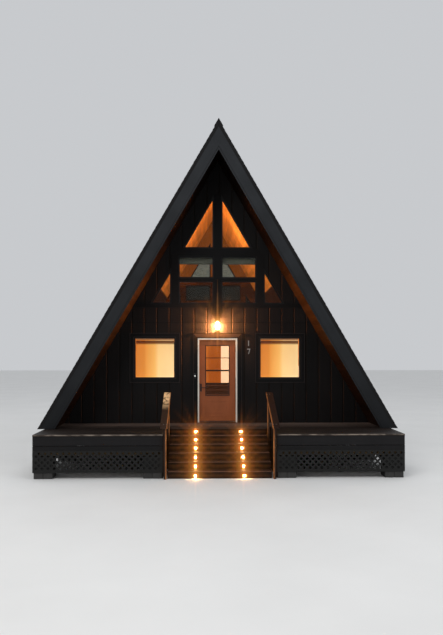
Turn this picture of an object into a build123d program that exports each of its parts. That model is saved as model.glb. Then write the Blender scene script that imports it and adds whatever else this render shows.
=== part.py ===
"""Sixty-degree A-frame cabin on a raised timber platform, with a porch, a recessed stair and a hinged door.

X runs to the right along the front, Y runs into the building and Z runs up.
The origin is on the ground, under the middle of the cabin's box.
Heights named "over the deck" start at the deck.
"""
from build123d import *
from math import atan, cos, radians, sin, sqrt, tan
import os

os.makedirs("parts", exist_ok=True)

# Driving sizes of the whole building, in millimetres
roof_pitch = 59.75
ridge_height = 7000.0
house_length = 7300.0
front_overhang = 1280.0
rear_overhang = 600.0
porch_depth = 2400.0

# Stair
riser_count = 6
riser_height = 155.0
tread_going = 280.0
tread_thickness = 38.0
tread_nosing = 25.0
riser_thickness = 20.0
stair_width = 2200.0
stringer_thickness = 45.0
stringer_inset = 20.0
stringer_depth = 190.0

# Platform; its sides stand back from the outer foot of the rafters
platform_setback = 70.0
deck_board_thickness = 38.0
joist_depth = 235.0
joist_thickness = 45.0
joist_spacing = 500.0
girder_depth = 190.0
girder_width = 140.0
pier_width = 390.0
skirt_thickness = 38.0
skirt_height = 300.0
lattice_ground_gap = 132.0
lattice_thickness = 22.0
lattice_rail = 55.0
lattice_top_rail = 20.0
lattice_end_rail = 30.0
lattice_pitch = 125.0
lattice_slat = 38.0
deck_nosing = 12.0

# Roof layers, measured square to the slope
lining_thickness = 20.0
rafter_depth = 202.0
roofing_thickness = 80.0
barge_thickness = 38.0
barge_drop = 40.0
ridge_cap_thickness = 16.0
ridge_cap_width = 170.0

# Walls and floors
wall_thickness = 150.0
loft_height = 2800.0
loft_thickness = 220.0
trim_thickness = 22.0
casing_width = 100.0
belly_band_height = 95.0

# Square windows of the ground floor: the sill is over the deck, and the shift is outwards from the middle
# between the door's casing and the roof
window_size = 1020.0
window_sill = 1084.0
window_shift = 16.0

# Gable windows, stacked up from the loft floor; the margin is level, from their outer corners to the lining
gable_mullion = 180.0
gable_post_width = 168.0
gable_window_margin = 385.0
low_pane_lift = 115.0
low_pane_height = 575.0
transom_height = 55.0
sash_height = 545.0
peak_gap = 188.0

# Window frames and glass
frame_face = 35.0
frame_depth = 90.0
frame_setback = 15.0
glass_thickness = 24.0
glass_setback = 50.0

# Front door
door_width = 890.0
door_height = 2005.0
door_thickness = 45.0
door_gap = 5.0
jamb_face = 45.0
threshold_height = 25.0
door_head_height = 119.0
door_stile = 145.0
door_top_rail = 130.0
door_lite_sill = 625.0
door_glass_thickness = 20.0
hinge_radius = 8.0
pin_clearance = 0.3
hinge_length = 100.0
hinge_count = 3
hinge_end_distance = 240.0
handle_height = 830.0
handle_inset = 20.0
handle_plate_height = 190.0
handle_plate_width = 36.0
handle_plate_thickness = 8.0
lever_length = 110.0
lever_radius = 9.0
lever_reach = 50.0

# Porch fittings
rail_width = 150.0
rail_thickness = 38.0
rail_height_over_landing = 706.0
rail_height_over_foot = 1090.0
rail_overrun = 60.0
rail_post_width = 50.0
rail_post_depth = 89.0
rail_post_clearance = 25.0
step_light_radius = 20.0
step_light_depth = 12.0
step_light_offset = 515.0
lantern_head_gap = 46.0
lantern_height = 300.0
lantern_width = 140.0
lantern_reach = 190.0
lantern_arm_height = 75.0
lantern_arm_width = 70.0
lantern_arm_drop = 110.0
conduit_radius = 11.0
conduit_end_drop = 25.0
numeral_height = 130.0
numeral_stroke = 22.0
numeral_thickness = 10.0
numeral_gap = 70.0
numeral_top_over_deck = 2020.0

# Worked-out places
slope = tan(radians(roof_pitch))
deck_height = riser_count * riser_height
landing_depth = porch_depth - (riser_count - 1) * tread_going
rail_reach = porch_depth + rail_post_depth + rail_overrun
wall_front = (rail_reach - house_length - rear_overhang - barge_thickness) / 2
wall_back = wall_front + house_length
roof_front = wall_front - front_overhang
roof_back = wall_back + rear_overhang
deck_front = wall_front - porch_depth
landing_edge = wall_front - landing_depth


def rise(square_thickness):
    """Height that a layer of this thickness, square to the slope, takes up plumb."""
    return square_thickness / cos(radians(roof_pitch))


roofing_apex = ridge_height - rise(roofing_thickness)
rafter_apex = roofing_apex - rise(rafter_depth)
lining_apex = rafter_apex - rise(lining_thickness)
platform_half_width = roofing_apex / slope - platform_setback
board_underside = deck_height - deck_board_thickness
joist_bottom = board_underside - joist_depth
pier_height = joist_bottom - girder_depth
skirt_bottom = board_underside - skirt_height
lattice_height = skirt_bottom - lattice_ground_gap
stair_recess_width = stair_width + 2 * (rail_post_width + 2 * rail_post_clearance)


def room_half_width(height_over_deck):
    """Half the clear width under the sloping lining at this height."""
    return (lining_apex - height_over_deck) / slope


def block(x_span, y_span, z_span, mode=Mode.ADD):
    """Rectangular block between two places on each axis."""
    with Locations((x_span[0], y_span[0], z_span[0])):
        Box(x_span[1] - x_span[0], y_span[1] - y_span[0], z_span[1] - z_span[0],
            align=(Align.MIN, Align.MIN, Align.MIN), mode=mode)


def outline(points, y):
    """Closed outline of (x, height over the deck) points, standing at depth y."""
    with BuildSketch(Plane.XZ.offset(-y)) as drawn:
        with BuildLine():
            Polyline(*[(x, deck_height + z) for x, z in points], close=True)
        make_face()
    return drawn.sketch


def mirrored(points, side):
    """The same points on the right (side 1) or mirrored to the left (side -1)."""
    return [(side * x, z) for x, z in points]


def rectangle(x0, x1, z0, z1):
    return [(x0, z0), (x1, z0), (x1, z1), (x0, z1)]


def slope_layer(side, low_apex, high_apex):
    """Section of one roof layer on one side, from the deck to the ridge line."""
    return mirrored([(0, low_apex), (low_apex / slope, 0), (high_apex / slope, 0), (0, high_apex)], side)


def export(piece, name):
    """Label the finished piece and write it."""
    piece.part.label = name
    export_step(piece.part, f"parts/{name}.step")


# Places of the windows and the doorway, from the centre line and over the deck
doorway_half_width = door_width / 2 + door_gap + jamb_face
doorway_height = threshold_height + door_gap + door_height + door_gap + jamb_face
head_half_width = doorway_half_width + casing_width
casing_reach = window_size / 2 + casing_width
window_head = window_sill + window_size
window_offset = (head_half_width + room_half_width(window_head + casing_width)) / 2 + window_shift
low_pane_sill = loft_height + low_pane_lift
low_pane_head = low_pane_sill + low_pane_height
sash_sill = low_pane_head + transom_height
sash_head = sash_sill + sash_height
peak_sill = sash_head + peak_gap
gable_window_reach = room_half_width(sash_head) - gable_window_margin
peak_reach = room_half_width(peak_sill) - gable_window_margin
flank_inner = gable_window_reach + gable_post_width
flank_reach = room_half_width(low_pane_sill) - gable_window_margin

# Openings in the walls, as outlines of (x, height over the deck) points for the right-hand side
square_window = rectangle(window_offset - window_size / 2, window_offset + window_size / 2,
                          window_sill, window_head)
low_pane = rectangle(gable_mullion / 2, gable_window_reach, low_pane_sill, low_pane_head)
sash = rectangle(gable_mullion / 2, gable_window_reach, sash_sill, sash_head)
peak_window = [(gable_mullion / 2, peak_sill), (peak_reach, peak_sill),
               (gable_mullion / 2, peak_sill + (peak_reach - gable_mullion / 2) * slope)]
flank_window = [(flank_inner, low_pane_sill), (flank_reach, low_pane_sill),
                (flank_inner, low_pane_sill + (flank_reach - flank_inner) * slope)]
gable_windows = [low_pane, sash, peak_window, flank_window]


def inset(points, distance):
    """The outline with every edge moved inwards by the distance; the points run anticlockwise."""
    moved = []
    count = len(points)
    for i in range(count):
        (ax, az), (bx, bz), (cx, cz) = points[i - 1], points[i], points[(i + 1) % count]
        in_dir = Vector(bx - ax, bz - az).normalized()
        out_dir = Vector(cx - bx, cz - bz).normalized()
        in_side = Vector(-in_dir.Y, in_dir.X)
        out_side = Vector(-out_dir.Y, out_dir.X)
        corner = (in_side + out_side) * (distance / (1 + in_side.dot(out_side)))
        moved.append((bx + corner.X, bz + corner.Y))
    return moved


# Piers: concrete blocks in rows under the girders
pier_inset = pier_width / 2 + lattice_thickness
girder_rows = [deck_front + pier_inset, wall_front + pier_inset,
               wall_front + house_length / 2, roof_back - pier_inset]
pier_column = platform_half_width - pier_inset
inner_pier_column = stair_recess_width / 2 + pier_inset
with BuildPart() as piers:
    for row in girder_rows:
        for column in (-pier_column, -inner_pier_column, inner_pier_column, pier_column):
            block((column - pier_width / 2, column + pier_width / 2),
                  (row - pier_width / 2, row + pier_width / 2), (0, pier_height))
export(piers, "piers")

# Girders on the piers, in two halves where the stair comes through
with BuildPart() as girders:
    for row in girder_rows:
        spans = [(-platform_half_width + skirt_thickness, platform_half_width - skirt_thickness)]
        if row < landing_edge:
            spans = [(-platform_half_width + skirt_thickness, -stair_recess_width / 2 - skirt_thickness),
                     (stair_recess_width / 2 + skirt_thickness, platform_half_width - skirt_thickness)]
        for span in spans:
            block(span, (row - girder_width / 2, row + girder_width / 2), (pier_height, joist_bottom))
export(girders, "girders")

# Porch joists, and shorter ones under the landing
joist_run = platform_half_width - stair_recess_width / 2 - 2 * skirt_thickness - joist_thickness
joists_a_side = int(joist_run // joist_spacing) + 1
with BuildPart() as porch_joists:
    for side in (-1, 1):
        for i in range(joists_a_side):
            middle = side * (stair_recess_width / 2 + skirt_thickness + joist_thickness / 2
                             + i * joist_run / (joists_a_side - 1))
            block((middle - joist_thickness / 2, middle + joist_thickness / 2),
                  (deck_front + skirt_thickness, wall_front), (joist_bottom, board_underside))
    for middle in (-stair_recess_width / 3, 0, stair_recess_width / 3):
        block((middle - joist_thickness / 2, middle + joist_thickness / 2),
              (landing_edge + riser_thickness + stringer_thickness, wall_front),
              (joist_bottom, board_underside))
export(porch_joists, "porch_joists")

# Deck boards of the porch, each side of the stair
with BuildPart() as porch_deck:
    for side in (-1, 1):
        x_span = sorted((side * stair_recess_width / 2, side * platform_half_width))
        block(x_span, (deck_front - deck_nosing, wall_front), (board_underside, deck_height))
export(porch_deck, "porch_deck")

# Landing in front of the door
with BuildPart() as landing:
    block((-stair_recess_width / 2, stair_recess_width / 2), (landing_edge - tread_nosing, wall_front),
          (board_underside, deck_height))
export(landing, "landing")

# Skirt boards round the platform, open at the stair
with BuildPart() as end_skirt_boards:
    for side in (-1, 1):
        block(sorted((side * stair_recess_width / 2, side * platform_half_width)),
              (deck_front, deck_front + skirt_thickness), (skirt_bottom, board_underside))
    block((-platform_half_width, platform_half_width), (roof_back - skirt_thickness, roof_back),
          (skirt_bottom, joist_bottom))
export(end_skirt_boards, "end_skirt_boards")

with BuildPart() as side_skirt_boards:
    for side in (-1, 1):
        x_span = sorted((side * (platform_half_width - skirt_thickness), side * platform_half_width))
        block(x_span, (deck_front + skirt_thickness, wall_front), (skirt_bottom, board_underside))
        block(x_span, (wall_front, roof_back - skirt_thickness), (skirt_bottom, joist_bottom))
export(side_skirt_boards, "side_skirt_boards")

# Boards that close the platform on each side of the stair
with BuildPart() as stair_side_panels:
    for side in (-1, 1):
        x_span = sorted((side * stair_recess_width / 2, side * (stair_recess_width / 2 + lattice_thickness)))
        block(x_span, (deck_front + skirt_thickness, landing_edge + riser_thickness),
              (0, board_underside))
export(stair_side_panels, "stair_side_panels")


def lattice_sketch(plane, length):
    """Diagonal lattice in a flat frame, its lower left corner at the plane's origin."""
    hole = (lattice_pitch - lattice_slat * sqrt(2)) / 2
    columns = int((length - 2 * lattice_end_rail - 2 * hole) // (lattice_pitch / 2)) + 1
    rows = int((lattice_height - lattice_rail - lattice_top_rail - 2 * hole) // (lattice_pitch / 2)) + 1
    first_x = (length - (columns - 1) * lattice_pitch / 2) / 2
    first_z = lattice_rail + hole
    holes = []
    for column in range(columns):
        for row in range(column % 2, rows, 2):
            x = first_x + column * lattice_pitch / 2
            z = first_z + row * lattice_pitch / 2
            holes.append(Wire.make_polygon([(x + hole, z), (x, z + hole), (x - hole, z), (x, z - hole)]))
    edge = Wire.make_polygon([(0, 0), (length, 0), (length, lattice_height), (0, lattice_height)])
    with BuildSketch(plane) as panel:
        add(Face(edge, holes))
    return panel.sketch


front_panel_length = platform_half_width - stair_recess_width / 2
with BuildPart() as front_lattices:
    for corner in (-platform_half_width, stair_recess_width / 2):
        front_plane = Plane(origin=(corner, deck_front, lattice_ground_gap),
                            x_dir=(1, 0, 0), z_dir=(0, -1, 0))
        extrude(lattice_sketch(front_plane, front_panel_length), amount=-lattice_thickness)
export(front_lattices, "front_lattices")


def side_plane(side, y):
    """Upright plane on the outer side face, with its length along Y."""
    return Plane(origin=(side * platform_half_width, y, lattice_ground_gap), x_dir=(0, 1, 0), z_dir=(1, 0, 0))


porch_panel_length = porch_depth - lattice_thickness
with BuildPart() as porch_end_lattices:
    for side in (-1, 1):
        extrude(lattice_sketch(side_plane(side, deck_front + lattice_thickness), porch_panel_length),
                amount=-side * lattice_thickness)
export(porch_end_lattices, "porch_end_lattices")

house_panel_length = roof_back - wall_front - lattice_thickness
for side, name in ((-1, "house_lattice_left"), (1, "house_lattice_right")):
    with BuildPart() as house_lattice:
        extrude(lattice_sketch(side_plane(side, wall_front), house_panel_length),
                amount=-side * lattice_thickness)
    export(house_lattice, name)

with BuildPart() as back_lattice:
    back_plane = Plane(origin=(-platform_half_width, roof_back, lattice_ground_gap),
                       x_dir=(1, 0, 0), z_dir=(0, -1, 0))
    extrude(lattice_sketch(back_plane, 2 * platform_half_width), amount=lattice_thickness)
export(back_lattice, "back_lattice")

# Stair: sawtooth stringers, risers, treads and riser lights
stair_angle = atan(riser_height / tread_going)


def stringer_outline():
    """Sawtooth profile as (y, z) points, from the landing edge down to the ground."""
    top = board_underside
    front = landing_edge + riser_thickness
    plumb_depth = stringer_depth / cos(stair_angle)
    points = [(front + stringer_thickness, top), (front, top)]
    for step in range(1, riser_count):
        level = deck_height - step * riser_height - tread_thickness
        points += [(front - (step - 1) * tread_going, level), (front - step * tread_going, level)]
    foot_y = front - (riser_count - 1) * tread_going
    points += [(foot_y, 0), (foot_y + plumb_depth / tan(stair_angle), 0)]
    points += [(front + stringer_thickness, top - plumb_depth)]
    return points


with BuildPart() as stair_stringers:
    outer_stringer = stair_width / 2 - stringer_inset - stringer_thickness / 2
    for middle in (-outer_stringer, 0, outer_stringer):
        with BuildSketch(Plane.YZ.offset(middle - stringer_thickness / 2)):
            with BuildLine():
                Polyline(*stringer_outline(), close=True)
            make_face()
        extrude(amount=stringer_thickness)
export(stair_stringers, "stair_stringers")

with BuildPart() as stair_risers:
    for step in range(riser_count):
        front = landing_edge - step * tread_going
        top = deck_height - step * riser_height - (deck_board_thickness if step == 0 else tread_thickness)
        foot = max(0, deck_height - (step + 1) * riser_height)
        block((-stair_width / 2, stair_width / 2), (front, front + riser_thickness), (foot, top))
export(stair_risers, "stair_risers")

with BuildPart() as stair_treads:
    for step in range(1, riser_count):
        level = deck_height - step * riser_height
        front = landing_edge - step * tread_going - tread_nosing
        back = landing_edge - (step - 1) * tread_going
        block((-stair_width / 2, stair_width / 2), (front, back), (level - tread_thickness, level))
export(stair_treads, "stair_treads")

with BuildPart() as step_lights:
    for step in range(riser_count):
        front = landing_edge - step * tread_going
        level = deck_height - (step + 0.5) * riser_height - tread_thickness / 2
        with Locations(Plane(origin=(0, front, level), x_dir=(1, 0, 0), z_dir=(0, -1, 0))):
            with Locations((-step_light_offset, 0), (step_light_offset, 0)):
                Cylinder(step_light_radius, step_light_depth, align=(Align.CENTER, Align.CENTER, Align.MIN))
export(step_lights, "step_lights")

# Handrails: a sloping plank on two posts, each side of the stair
upper_post = landing_edge - tread_nosing - rail_post_depth
lower_post = deck_front - rail_post_depth
rail_fall = (deck_height + rail_height_over_landing - rail_height_over_foot) / (upper_post - lower_post)
rail_middle = (stair_width + stair_recess_width) / 4 + rail_post_width / 2


def rail_underside(y):
    """Height of the plank's underside at depth y."""
    return deck_height + rail_height_over_landing + (y - upper_post) * rail_fall


with BuildPart() as rail_posts:
    for side in (-1, 1):
        x = side * (stair_width / 2 + (stair_recess_width - stair_width) / 4)
        for y in (upper_post, lower_post):
            back = y + rail_post_depth
            with BuildSketch(Plane.YZ.offset(x - rail_post_width / 2)):
                with BuildLine():
                    Polyline((y, 0), (back, 0), (back, rail_underside(back)), (y, rail_underside(y)),
                             close=True)
                make_face()
            extrude(amount=rail_post_width)
export(rail_posts, "rail_posts")

with BuildPart() as handrails:
    for side in (-1, 1):
        low = lower_post - rail_overrun
        high = upper_post + rail_post_depth + rail_overrun
        with BuildSketch(Plane.YZ.offset(side * rail_middle - rail_width / 2)):
            with BuildLine():
                Polyline((low, rail_underside(low)), (high, rail_underside(high)),
                         (high, rail_underside(high) + rail_thickness),
                         (low, rail_underside(low) + rail_thickness), close=True)
            make_face()
        extrude(amount=rail_width)
export(handrails, "handrails")

# Floors
with BuildPart() as floor:
    block((-platform_half_width, platform_half_width), (wall_front, roof_back), (joist_bottom, deck_height))
export(floor, "floor")

with BuildPart() as loft_floor:
    loft_low = loft_height - loft_thickness
    loft_section = [(-room_half_width(loft_low), loft_low), (room_half_width(loft_low), loft_low),
                    (room_half_width(loft_height), loft_height), (-room_half_width(loft_height), loft_height)]
    extrude(outline(loft_section, wall_front + wall_thickness), amount=-(house_length - 2 * wall_thickness))
export(loft_floor, "loft_floor")

# Roof: lining, insulated rafters and roofing on each slope
roof_length = roof_back - roof_front
for side, hand in ((-1, "left"), (1, "right")):
    with BuildPart() as lining:
        extrude(outline(slope_layer(side, lining_apex, rafter_apex), roof_front), amount=-roof_length)
    export(lining, f"lining_{hand}")
    with BuildPart() as roof_slab:
        extrude(outline(slope_layer(side, rafter_apex, roofing_apex), roof_front), amount=-roof_length)
    export(roof_slab, f"roof_{hand}")
    with BuildPart() as roofing:
        extrude(outline(slope_layer(side, roofing_apex, ridge_height), roof_front - barge_thickness),
                amount=-(roof_length + 2 * barge_thickness))
    export(roofing, f"roofing_{hand}")
    barge_section = slope_layer(side, lining_apex - rise(barge_drop), roofing_apex)
    with BuildPart() as front_barge:
        extrude(outline(barge_section, roof_front - barge_thickness), amount=-barge_thickness)
    export(front_barge, f"front_barge_board_{hand}")
    with BuildPart() as back_barge:
        extrude(outline(barge_section, roof_back), amount=-barge_thickness)
    export(back_barge, f"back_barge_board_{hand}")

# Ridge cap: a folded strip over the top edge of the roofing
with BuildPart() as ridge_cap:
    cap_reach = ridge_cap_width * cos(radians(roof_pitch))
    cap_apex = ridge_height + rise(ridge_cap_thickness)
    out_x = ridge_cap_thickness * sin(radians(roof_pitch))
    out_z = ridge_cap_thickness * cos(radians(roof_pitch))
    foot_z = ridge_height - cap_reach * slope
    cap_section = [(0, ridge_height), (cap_reach, foot_z), (cap_reach + out_x, foot_z + out_z), (0, cap_apex)]
    cap_section += [(-x, z) for x, z in cap_section[2:0:-1]]
    extrude(outline(cap_section, roof_front - barge_thickness), amount=-(roof_length + 2 * barge_thickness))
export(ridge_cap, "ridge_cap")

# Front wall: two lower panels, the panel over the door and the gable
door_opening = rectangle(-doorway_half_width, doorway_half_width, 0, doorway_height)


def wall_piece(points, openings, y_front):
    """Wall panel of this outline with the openings cut through it."""
    extrude(outline(points, y_front), amount=-wall_thickness)
    for opening in openings:
        extrude(outline(opening, y_front), amount=-wall_thickness, mode=Mode.SUBTRACT)


for side, name in ((-1, "front_wall_left"), (1, "front_wall_right")):
    lower_panel = [(doorway_half_width, 0), (room_half_width(0), 0),
                   (room_half_width(loft_height), loft_height), (doorway_half_width, loft_height)]
    with BuildPart() as front_wall:
        wall_piece(mirrored(lower_panel, side), [mirrored(square_window, side)], wall_front)
    export(front_wall, name)

with BuildPart() as front_wall_over_door:
    wall_piece(rectangle(-doorway_half_width, doorway_half_width, doorway_height, loft_height), [],
               wall_front)
export(front_wall_over_door, "front_wall_over_door")

gable_outline = [(-room_half_width(loft_height), loft_height), (room_half_width(loft_height), loft_height),
                 (0, lining_apex)]
all_gable_windows = [mirrored(window, side) for window in gable_windows for side in (-1, 1)]
with BuildPart() as front_gable:
    wall_piece(gable_outline, all_gable_windows, wall_front)
export(front_gable, "front_gable")

# Back wall, closed at the doorway
back_face = wall_back - wall_thickness
back_outline = [(-room_half_width(0), 0), (room_half_width(0), 0),
                (room_half_width(loft_height), loft_height), (-room_half_width(loft_height), loft_height)]
with BuildPart() as back_wall:
    wall_piece(back_outline, [mirrored(square_window, side) for side in (-1, 1)], back_face)
export(back_wall, "back_wall")

with BuildPart() as back_gable:
    wall_piece(gable_outline, all_gable_windows, back_face)
export(back_gable, "back_gable")

# Window frames and glass, the same in the front and the back wall
all_windows = [square_window] + gable_windows


def frames(y_outer, inwards):
    """Frame round the edge of every window opening; inwards is 1 for the front wall and -1 for the back."""
    y = y_outer + inwards * frame_setback
    for window in all_windows:
        for side in (-1, 1):
            extrude(outline(mirrored(window, side), y), amount=-inwards * frame_depth)
            extrude(outline(mirrored(inset(window, frame_face), side), y), amount=-inwards * frame_depth,
                    mode=Mode.SUBTRACT)


def panes(y_outer, inwards):
    """Glass filling every window frame."""
    y = y_outer + inwards * glass_setback
    for window in all_windows:
        for side in (-1, 1):
            extrude(outline(mirrored(inset(window, frame_face), side), y), amount=-inwards * glass_thickness)


with BuildPart() as front_window_frames:
    frames(wall_front, 1)
export(front_window_frames, "front_window_frames")
with BuildPart() as back_window_frames:
    frames(wall_back, -1)
export(back_window_frames, "back_window_frames")
with BuildPart() as front_window_glass:
    panes(wall_front, 1)
export(front_window_glass, "front_window_glass")
with BuildPart() as back_window_glass:
    panes(wall_back, -1)
export(back_window_glass, "back_window_glass")

# Flat trim boards: casings, belly band and gable mullions, all cut to the underside of the roof
belly_low = low_pane_sill - belly_band_height
casing_outline = rectangle(window_offset - casing_reach, window_offset + casing_reach,
                           window_sill - casing_width, window_head + casing_width)
room_outline = [(-room_half_width(0), 0), (room_half_width(0), 0), (0, lining_apex)]


def window_trim(y_outer, outwards):
    """Casings round the square windows, and one board frame round the gable windows."""
    amount = outwards * trim_thickness
    half_board = [(flank_inner, belly_low), (flank_inner, peak_sill - gable_mullion),
                  (gable_window_reach, peak_sill), (gable_mullion / 2, peak_sill),
                  (gable_mullion / 2, peak_window[2][1])]
    gable_board = half_board + mirrored(half_board[::-1], -1)
    extrude(outline(gable_board, y_outer), amount=amount)
    band = [(-room_half_width(belly_low), belly_low), (room_half_width(belly_low), belly_low),
            (room_half_width(low_pane_sill), low_pane_sill), (-room_half_width(low_pane_sill), low_pane_sill)]
    extrude(outline(band, y_outer), amount=amount)
    for side in (-1, 1):
        extrude(outline(mirrored(casing_outline, side), y_outer), amount=amount)
        for window in (square_window, low_pane, sash):
            extrude(outline(mirrored(window, side), y_outer), amount=amount, mode=Mode.SUBTRACT)
    extrude(outline(room_outline, y_outer), amount=amount, mode=Mode.INTERSECT)


with BuildPart() as front_trim:
    window_trim(wall_front, 1)
    casing_head = doorway_height + door_head_height
    door_casing = rectangle(-head_half_width, head_half_width, 0, casing_head)
    door_ledge = rectangle(-head_half_width, head_half_width, casing_head - trim_thickness, casing_head)
    extrude(outline(door_casing, wall_front), amount=trim_thickness)
    extrude(outline(door_opening, wall_front), amount=trim_thickness, mode=Mode.SUBTRACT)
    extrude(outline(door_ledge, wall_front), amount=2 * trim_thickness)
export(front_trim, "front_trim")
with BuildPart() as back_trim:
    window_trim(wall_back, -1)
export(back_trim, "back_trim")

# Door frame, threshold, leaf, glass, handle and hinges; the leaf opens inwards and hangs on the right
leaf_back = wall_front + wall_thickness
leaf_front = leaf_back - door_thickness
leaf_low = threshold_height + door_gap
leaf_left = -door_width / 2
leaf_right = door_width / 2
with BuildPart() as door_frame:
    extrude(outline(door_opening, wall_front), amount=-wall_thickness)
    clear_half = door_width / 2 + door_gap
    clear_height = doorway_height - jamb_face
    extrude(outline(rectangle(-clear_half, clear_half, 0, clear_height), wall_front), amount=-wall_thickness,
            mode=Mode.SUBTRACT)
export(door_frame, "door_frame")

with BuildPart() as door_threshold:
    extrude(outline(rectangle(-clear_half, clear_half, 0, threshold_height), wall_front - trim_thickness),
            amount=-(wall_thickness + trim_thickness))
export(door_threshold, "door_threshold")

lite = rectangle(leaf_left + door_stile, leaf_right - door_stile,
                 leaf_low + door_lite_sill, leaf_low + door_height - door_top_rail)
with BuildPart() as door_leaf:
    extrude(outline(rectangle(leaf_left, leaf_right, leaf_low, leaf_low + door_height), leaf_front),
            amount=-door_thickness)
    extrude(outline(lite, leaf_front), amount=-door_thickness, mode=Mode.SUBTRACT)
export(door_leaf, "door_leaf")

with BuildPart() as door_glass:
    glass_front = leaf_front + (door_thickness - door_glass_thickness) / 2
    extrude(outline(lite, glass_front), amount=-door_glass_thickness)
export(door_glass, "door_glass")

handle_x = leaf_left + handle_inset + handle_plate_width / 2
with BuildPart() as door_handle:
    for face, outwards in ((leaf_front, -1), (leaf_back, 1)):
        y_plate = sorted((face, face + outwards * handle_plate_thickness))
        middle = deck_height + leaf_low + handle_height
        block((handle_x - handle_plate_width / 2, handle_x + handle_plate_width / 2), y_plate,
              (middle - handle_plate_height / 2, middle + handle_plate_height / 2))
        y_grip = face + outwards * (lever_reach - lever_radius)
        with Locations(Plane(origin=(handle_x, face, middle), x_dir=(1, 0, 0), z_dir=(0, outwards, 0))):
            Cylinder(lever_radius, lever_reach, align=(Align.CENTER, Align.CENTER, Align.MIN))
        with Locations(Plane(origin=(handle_x, y_grip, middle), x_dir=(0, 1, 0), z_dir=(1, 0, 0))):
            Cylinder(lever_radius, lever_length, align=(Align.CENTER, Align.CENTER, Align.MIN))
export(door_handle, "door_handle")

hinge_x = leaf_right + door_gap / 2
hinge_y = leaf_back + hinge_radius + pin_clearance
hinge_spacing = (door_height - 2 * hinge_end_distance) / (hinge_count - 1)
with BuildPart() as door_hinges:
    for i in range(hinge_count):
        level = deck_height + leaf_low + hinge_end_distance + i * hinge_spacing
        with Locations((hinge_x, hinge_y, level)):
            Cylinder(hinge_radius, hinge_length)
export(door_hinges, "door_hinges")

# Wall lantern on the mullion, with its conduit
with BuildPart() as lantern:
    lantern_low = deck_height + casing_head + lantern_head_gap
    lantern_y = wall_front - lantern_reach / 2
    with Locations((0, lantern_y, lantern_low)):
        Cylinder(lantern_width / 2, lantern_height, align=(Align.CENTER, Align.CENTER, Align.MIN))
    conduit_low = lantern_low + lantern_height
    arm_top = conduit_low - lantern_arm_drop
    block((-lantern_arm_width / 2, lantern_arm_width / 2), (lantern_y, wall_front),
          (arm_top - lantern_arm_height, arm_top))
    conduit_top = deck_height + sash_sill - conduit_end_drop
    with Locations((0, wall_front - trim_thickness - conduit_radius, conduit_low - conduit_radius)):
        Cylinder(conduit_radius, conduit_top - conduit_low + conduit_radius,
                 align=(Align.CENTER, Align.CENTER, Align.MIN))
    block((-conduit_radius, conduit_radius), (lantern_y, wall_front - trim_thickness - conduit_radius),
          (conduit_low - 2 * conduit_radius, conduit_low))
export(lantern, "lantern")

# House numerals, a one over a seven, between the casings of the door and the right window
numeral_offset = (head_half_width + window_offset - casing_reach) / 2
with BuildPart() as house_numerals:
    one_low = numeral_top_over_deck - numeral_height
    half = numeral_stroke / 2
    one = rectangle(numeral_offset - half, numeral_offset + half, one_low, numeral_top_over_deck)
    extrude(outline(one, wall_front), amount=numeral_thickness)
    seven_top = one_low - numeral_gap
    seven_low = seven_top - numeral_height
    reach = numeral_height / 4
    bar_low = seven_top - numeral_stroke
    seven = [(numeral_offset - half, seven_low), (numeral_offset + half, seven_low),
             (numeral_offset + reach + half, seven_top), (numeral_offset - reach, seven_top),
             (numeral_offset - reach, bar_low), (numeral_offset + reach - half, bar_low)]
    extrude(outline(seven, wall_front), amount=numeral_thickness)
export(house_numerals, "house_numerals")
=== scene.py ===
"""Looks of a sixty-degree timber A-frame cabin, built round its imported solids.

X runs to the right along the front, Y runs into the building and Z runs up, in metres.
"""

import math

import bmesh
import bpy
import numpy as np
from mathutils import Matrix, Vector


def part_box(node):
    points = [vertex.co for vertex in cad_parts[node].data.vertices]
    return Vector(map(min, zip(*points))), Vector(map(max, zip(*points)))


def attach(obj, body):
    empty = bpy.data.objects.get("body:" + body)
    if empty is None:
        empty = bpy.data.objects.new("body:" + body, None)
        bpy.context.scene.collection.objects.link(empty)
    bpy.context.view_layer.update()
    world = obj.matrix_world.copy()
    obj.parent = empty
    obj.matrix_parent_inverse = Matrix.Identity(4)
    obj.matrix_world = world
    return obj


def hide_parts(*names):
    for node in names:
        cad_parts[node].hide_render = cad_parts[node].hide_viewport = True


bl_info = {
    "name": "A-frame cabin",
    "version": (1, 0, 0),
    "blender": (4, 5, 0),
    "location": "3D View > Sidebar > Cabin",
    "description": "Boards, shingles, fittings, finishes and stage of a timber A-frame cabin",
    "category": "Object",
}

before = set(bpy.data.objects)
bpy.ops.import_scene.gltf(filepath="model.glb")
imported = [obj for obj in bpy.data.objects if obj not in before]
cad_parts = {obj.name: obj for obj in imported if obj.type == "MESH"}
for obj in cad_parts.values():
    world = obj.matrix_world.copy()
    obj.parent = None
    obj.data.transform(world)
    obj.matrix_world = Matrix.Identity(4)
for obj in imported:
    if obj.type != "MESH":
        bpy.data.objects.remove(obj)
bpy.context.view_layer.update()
CABIN = "cabin"
DOOR = "front_door"
SIDES = ((1, "right"), (-1, "left"))
FRONT_PANELS = ("front_gable", "front_wall_left", "front_wall_right", "front_wall_over_door")
BACK_PANELS = ("back_gable", "back_wall")
FAR = 9

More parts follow.
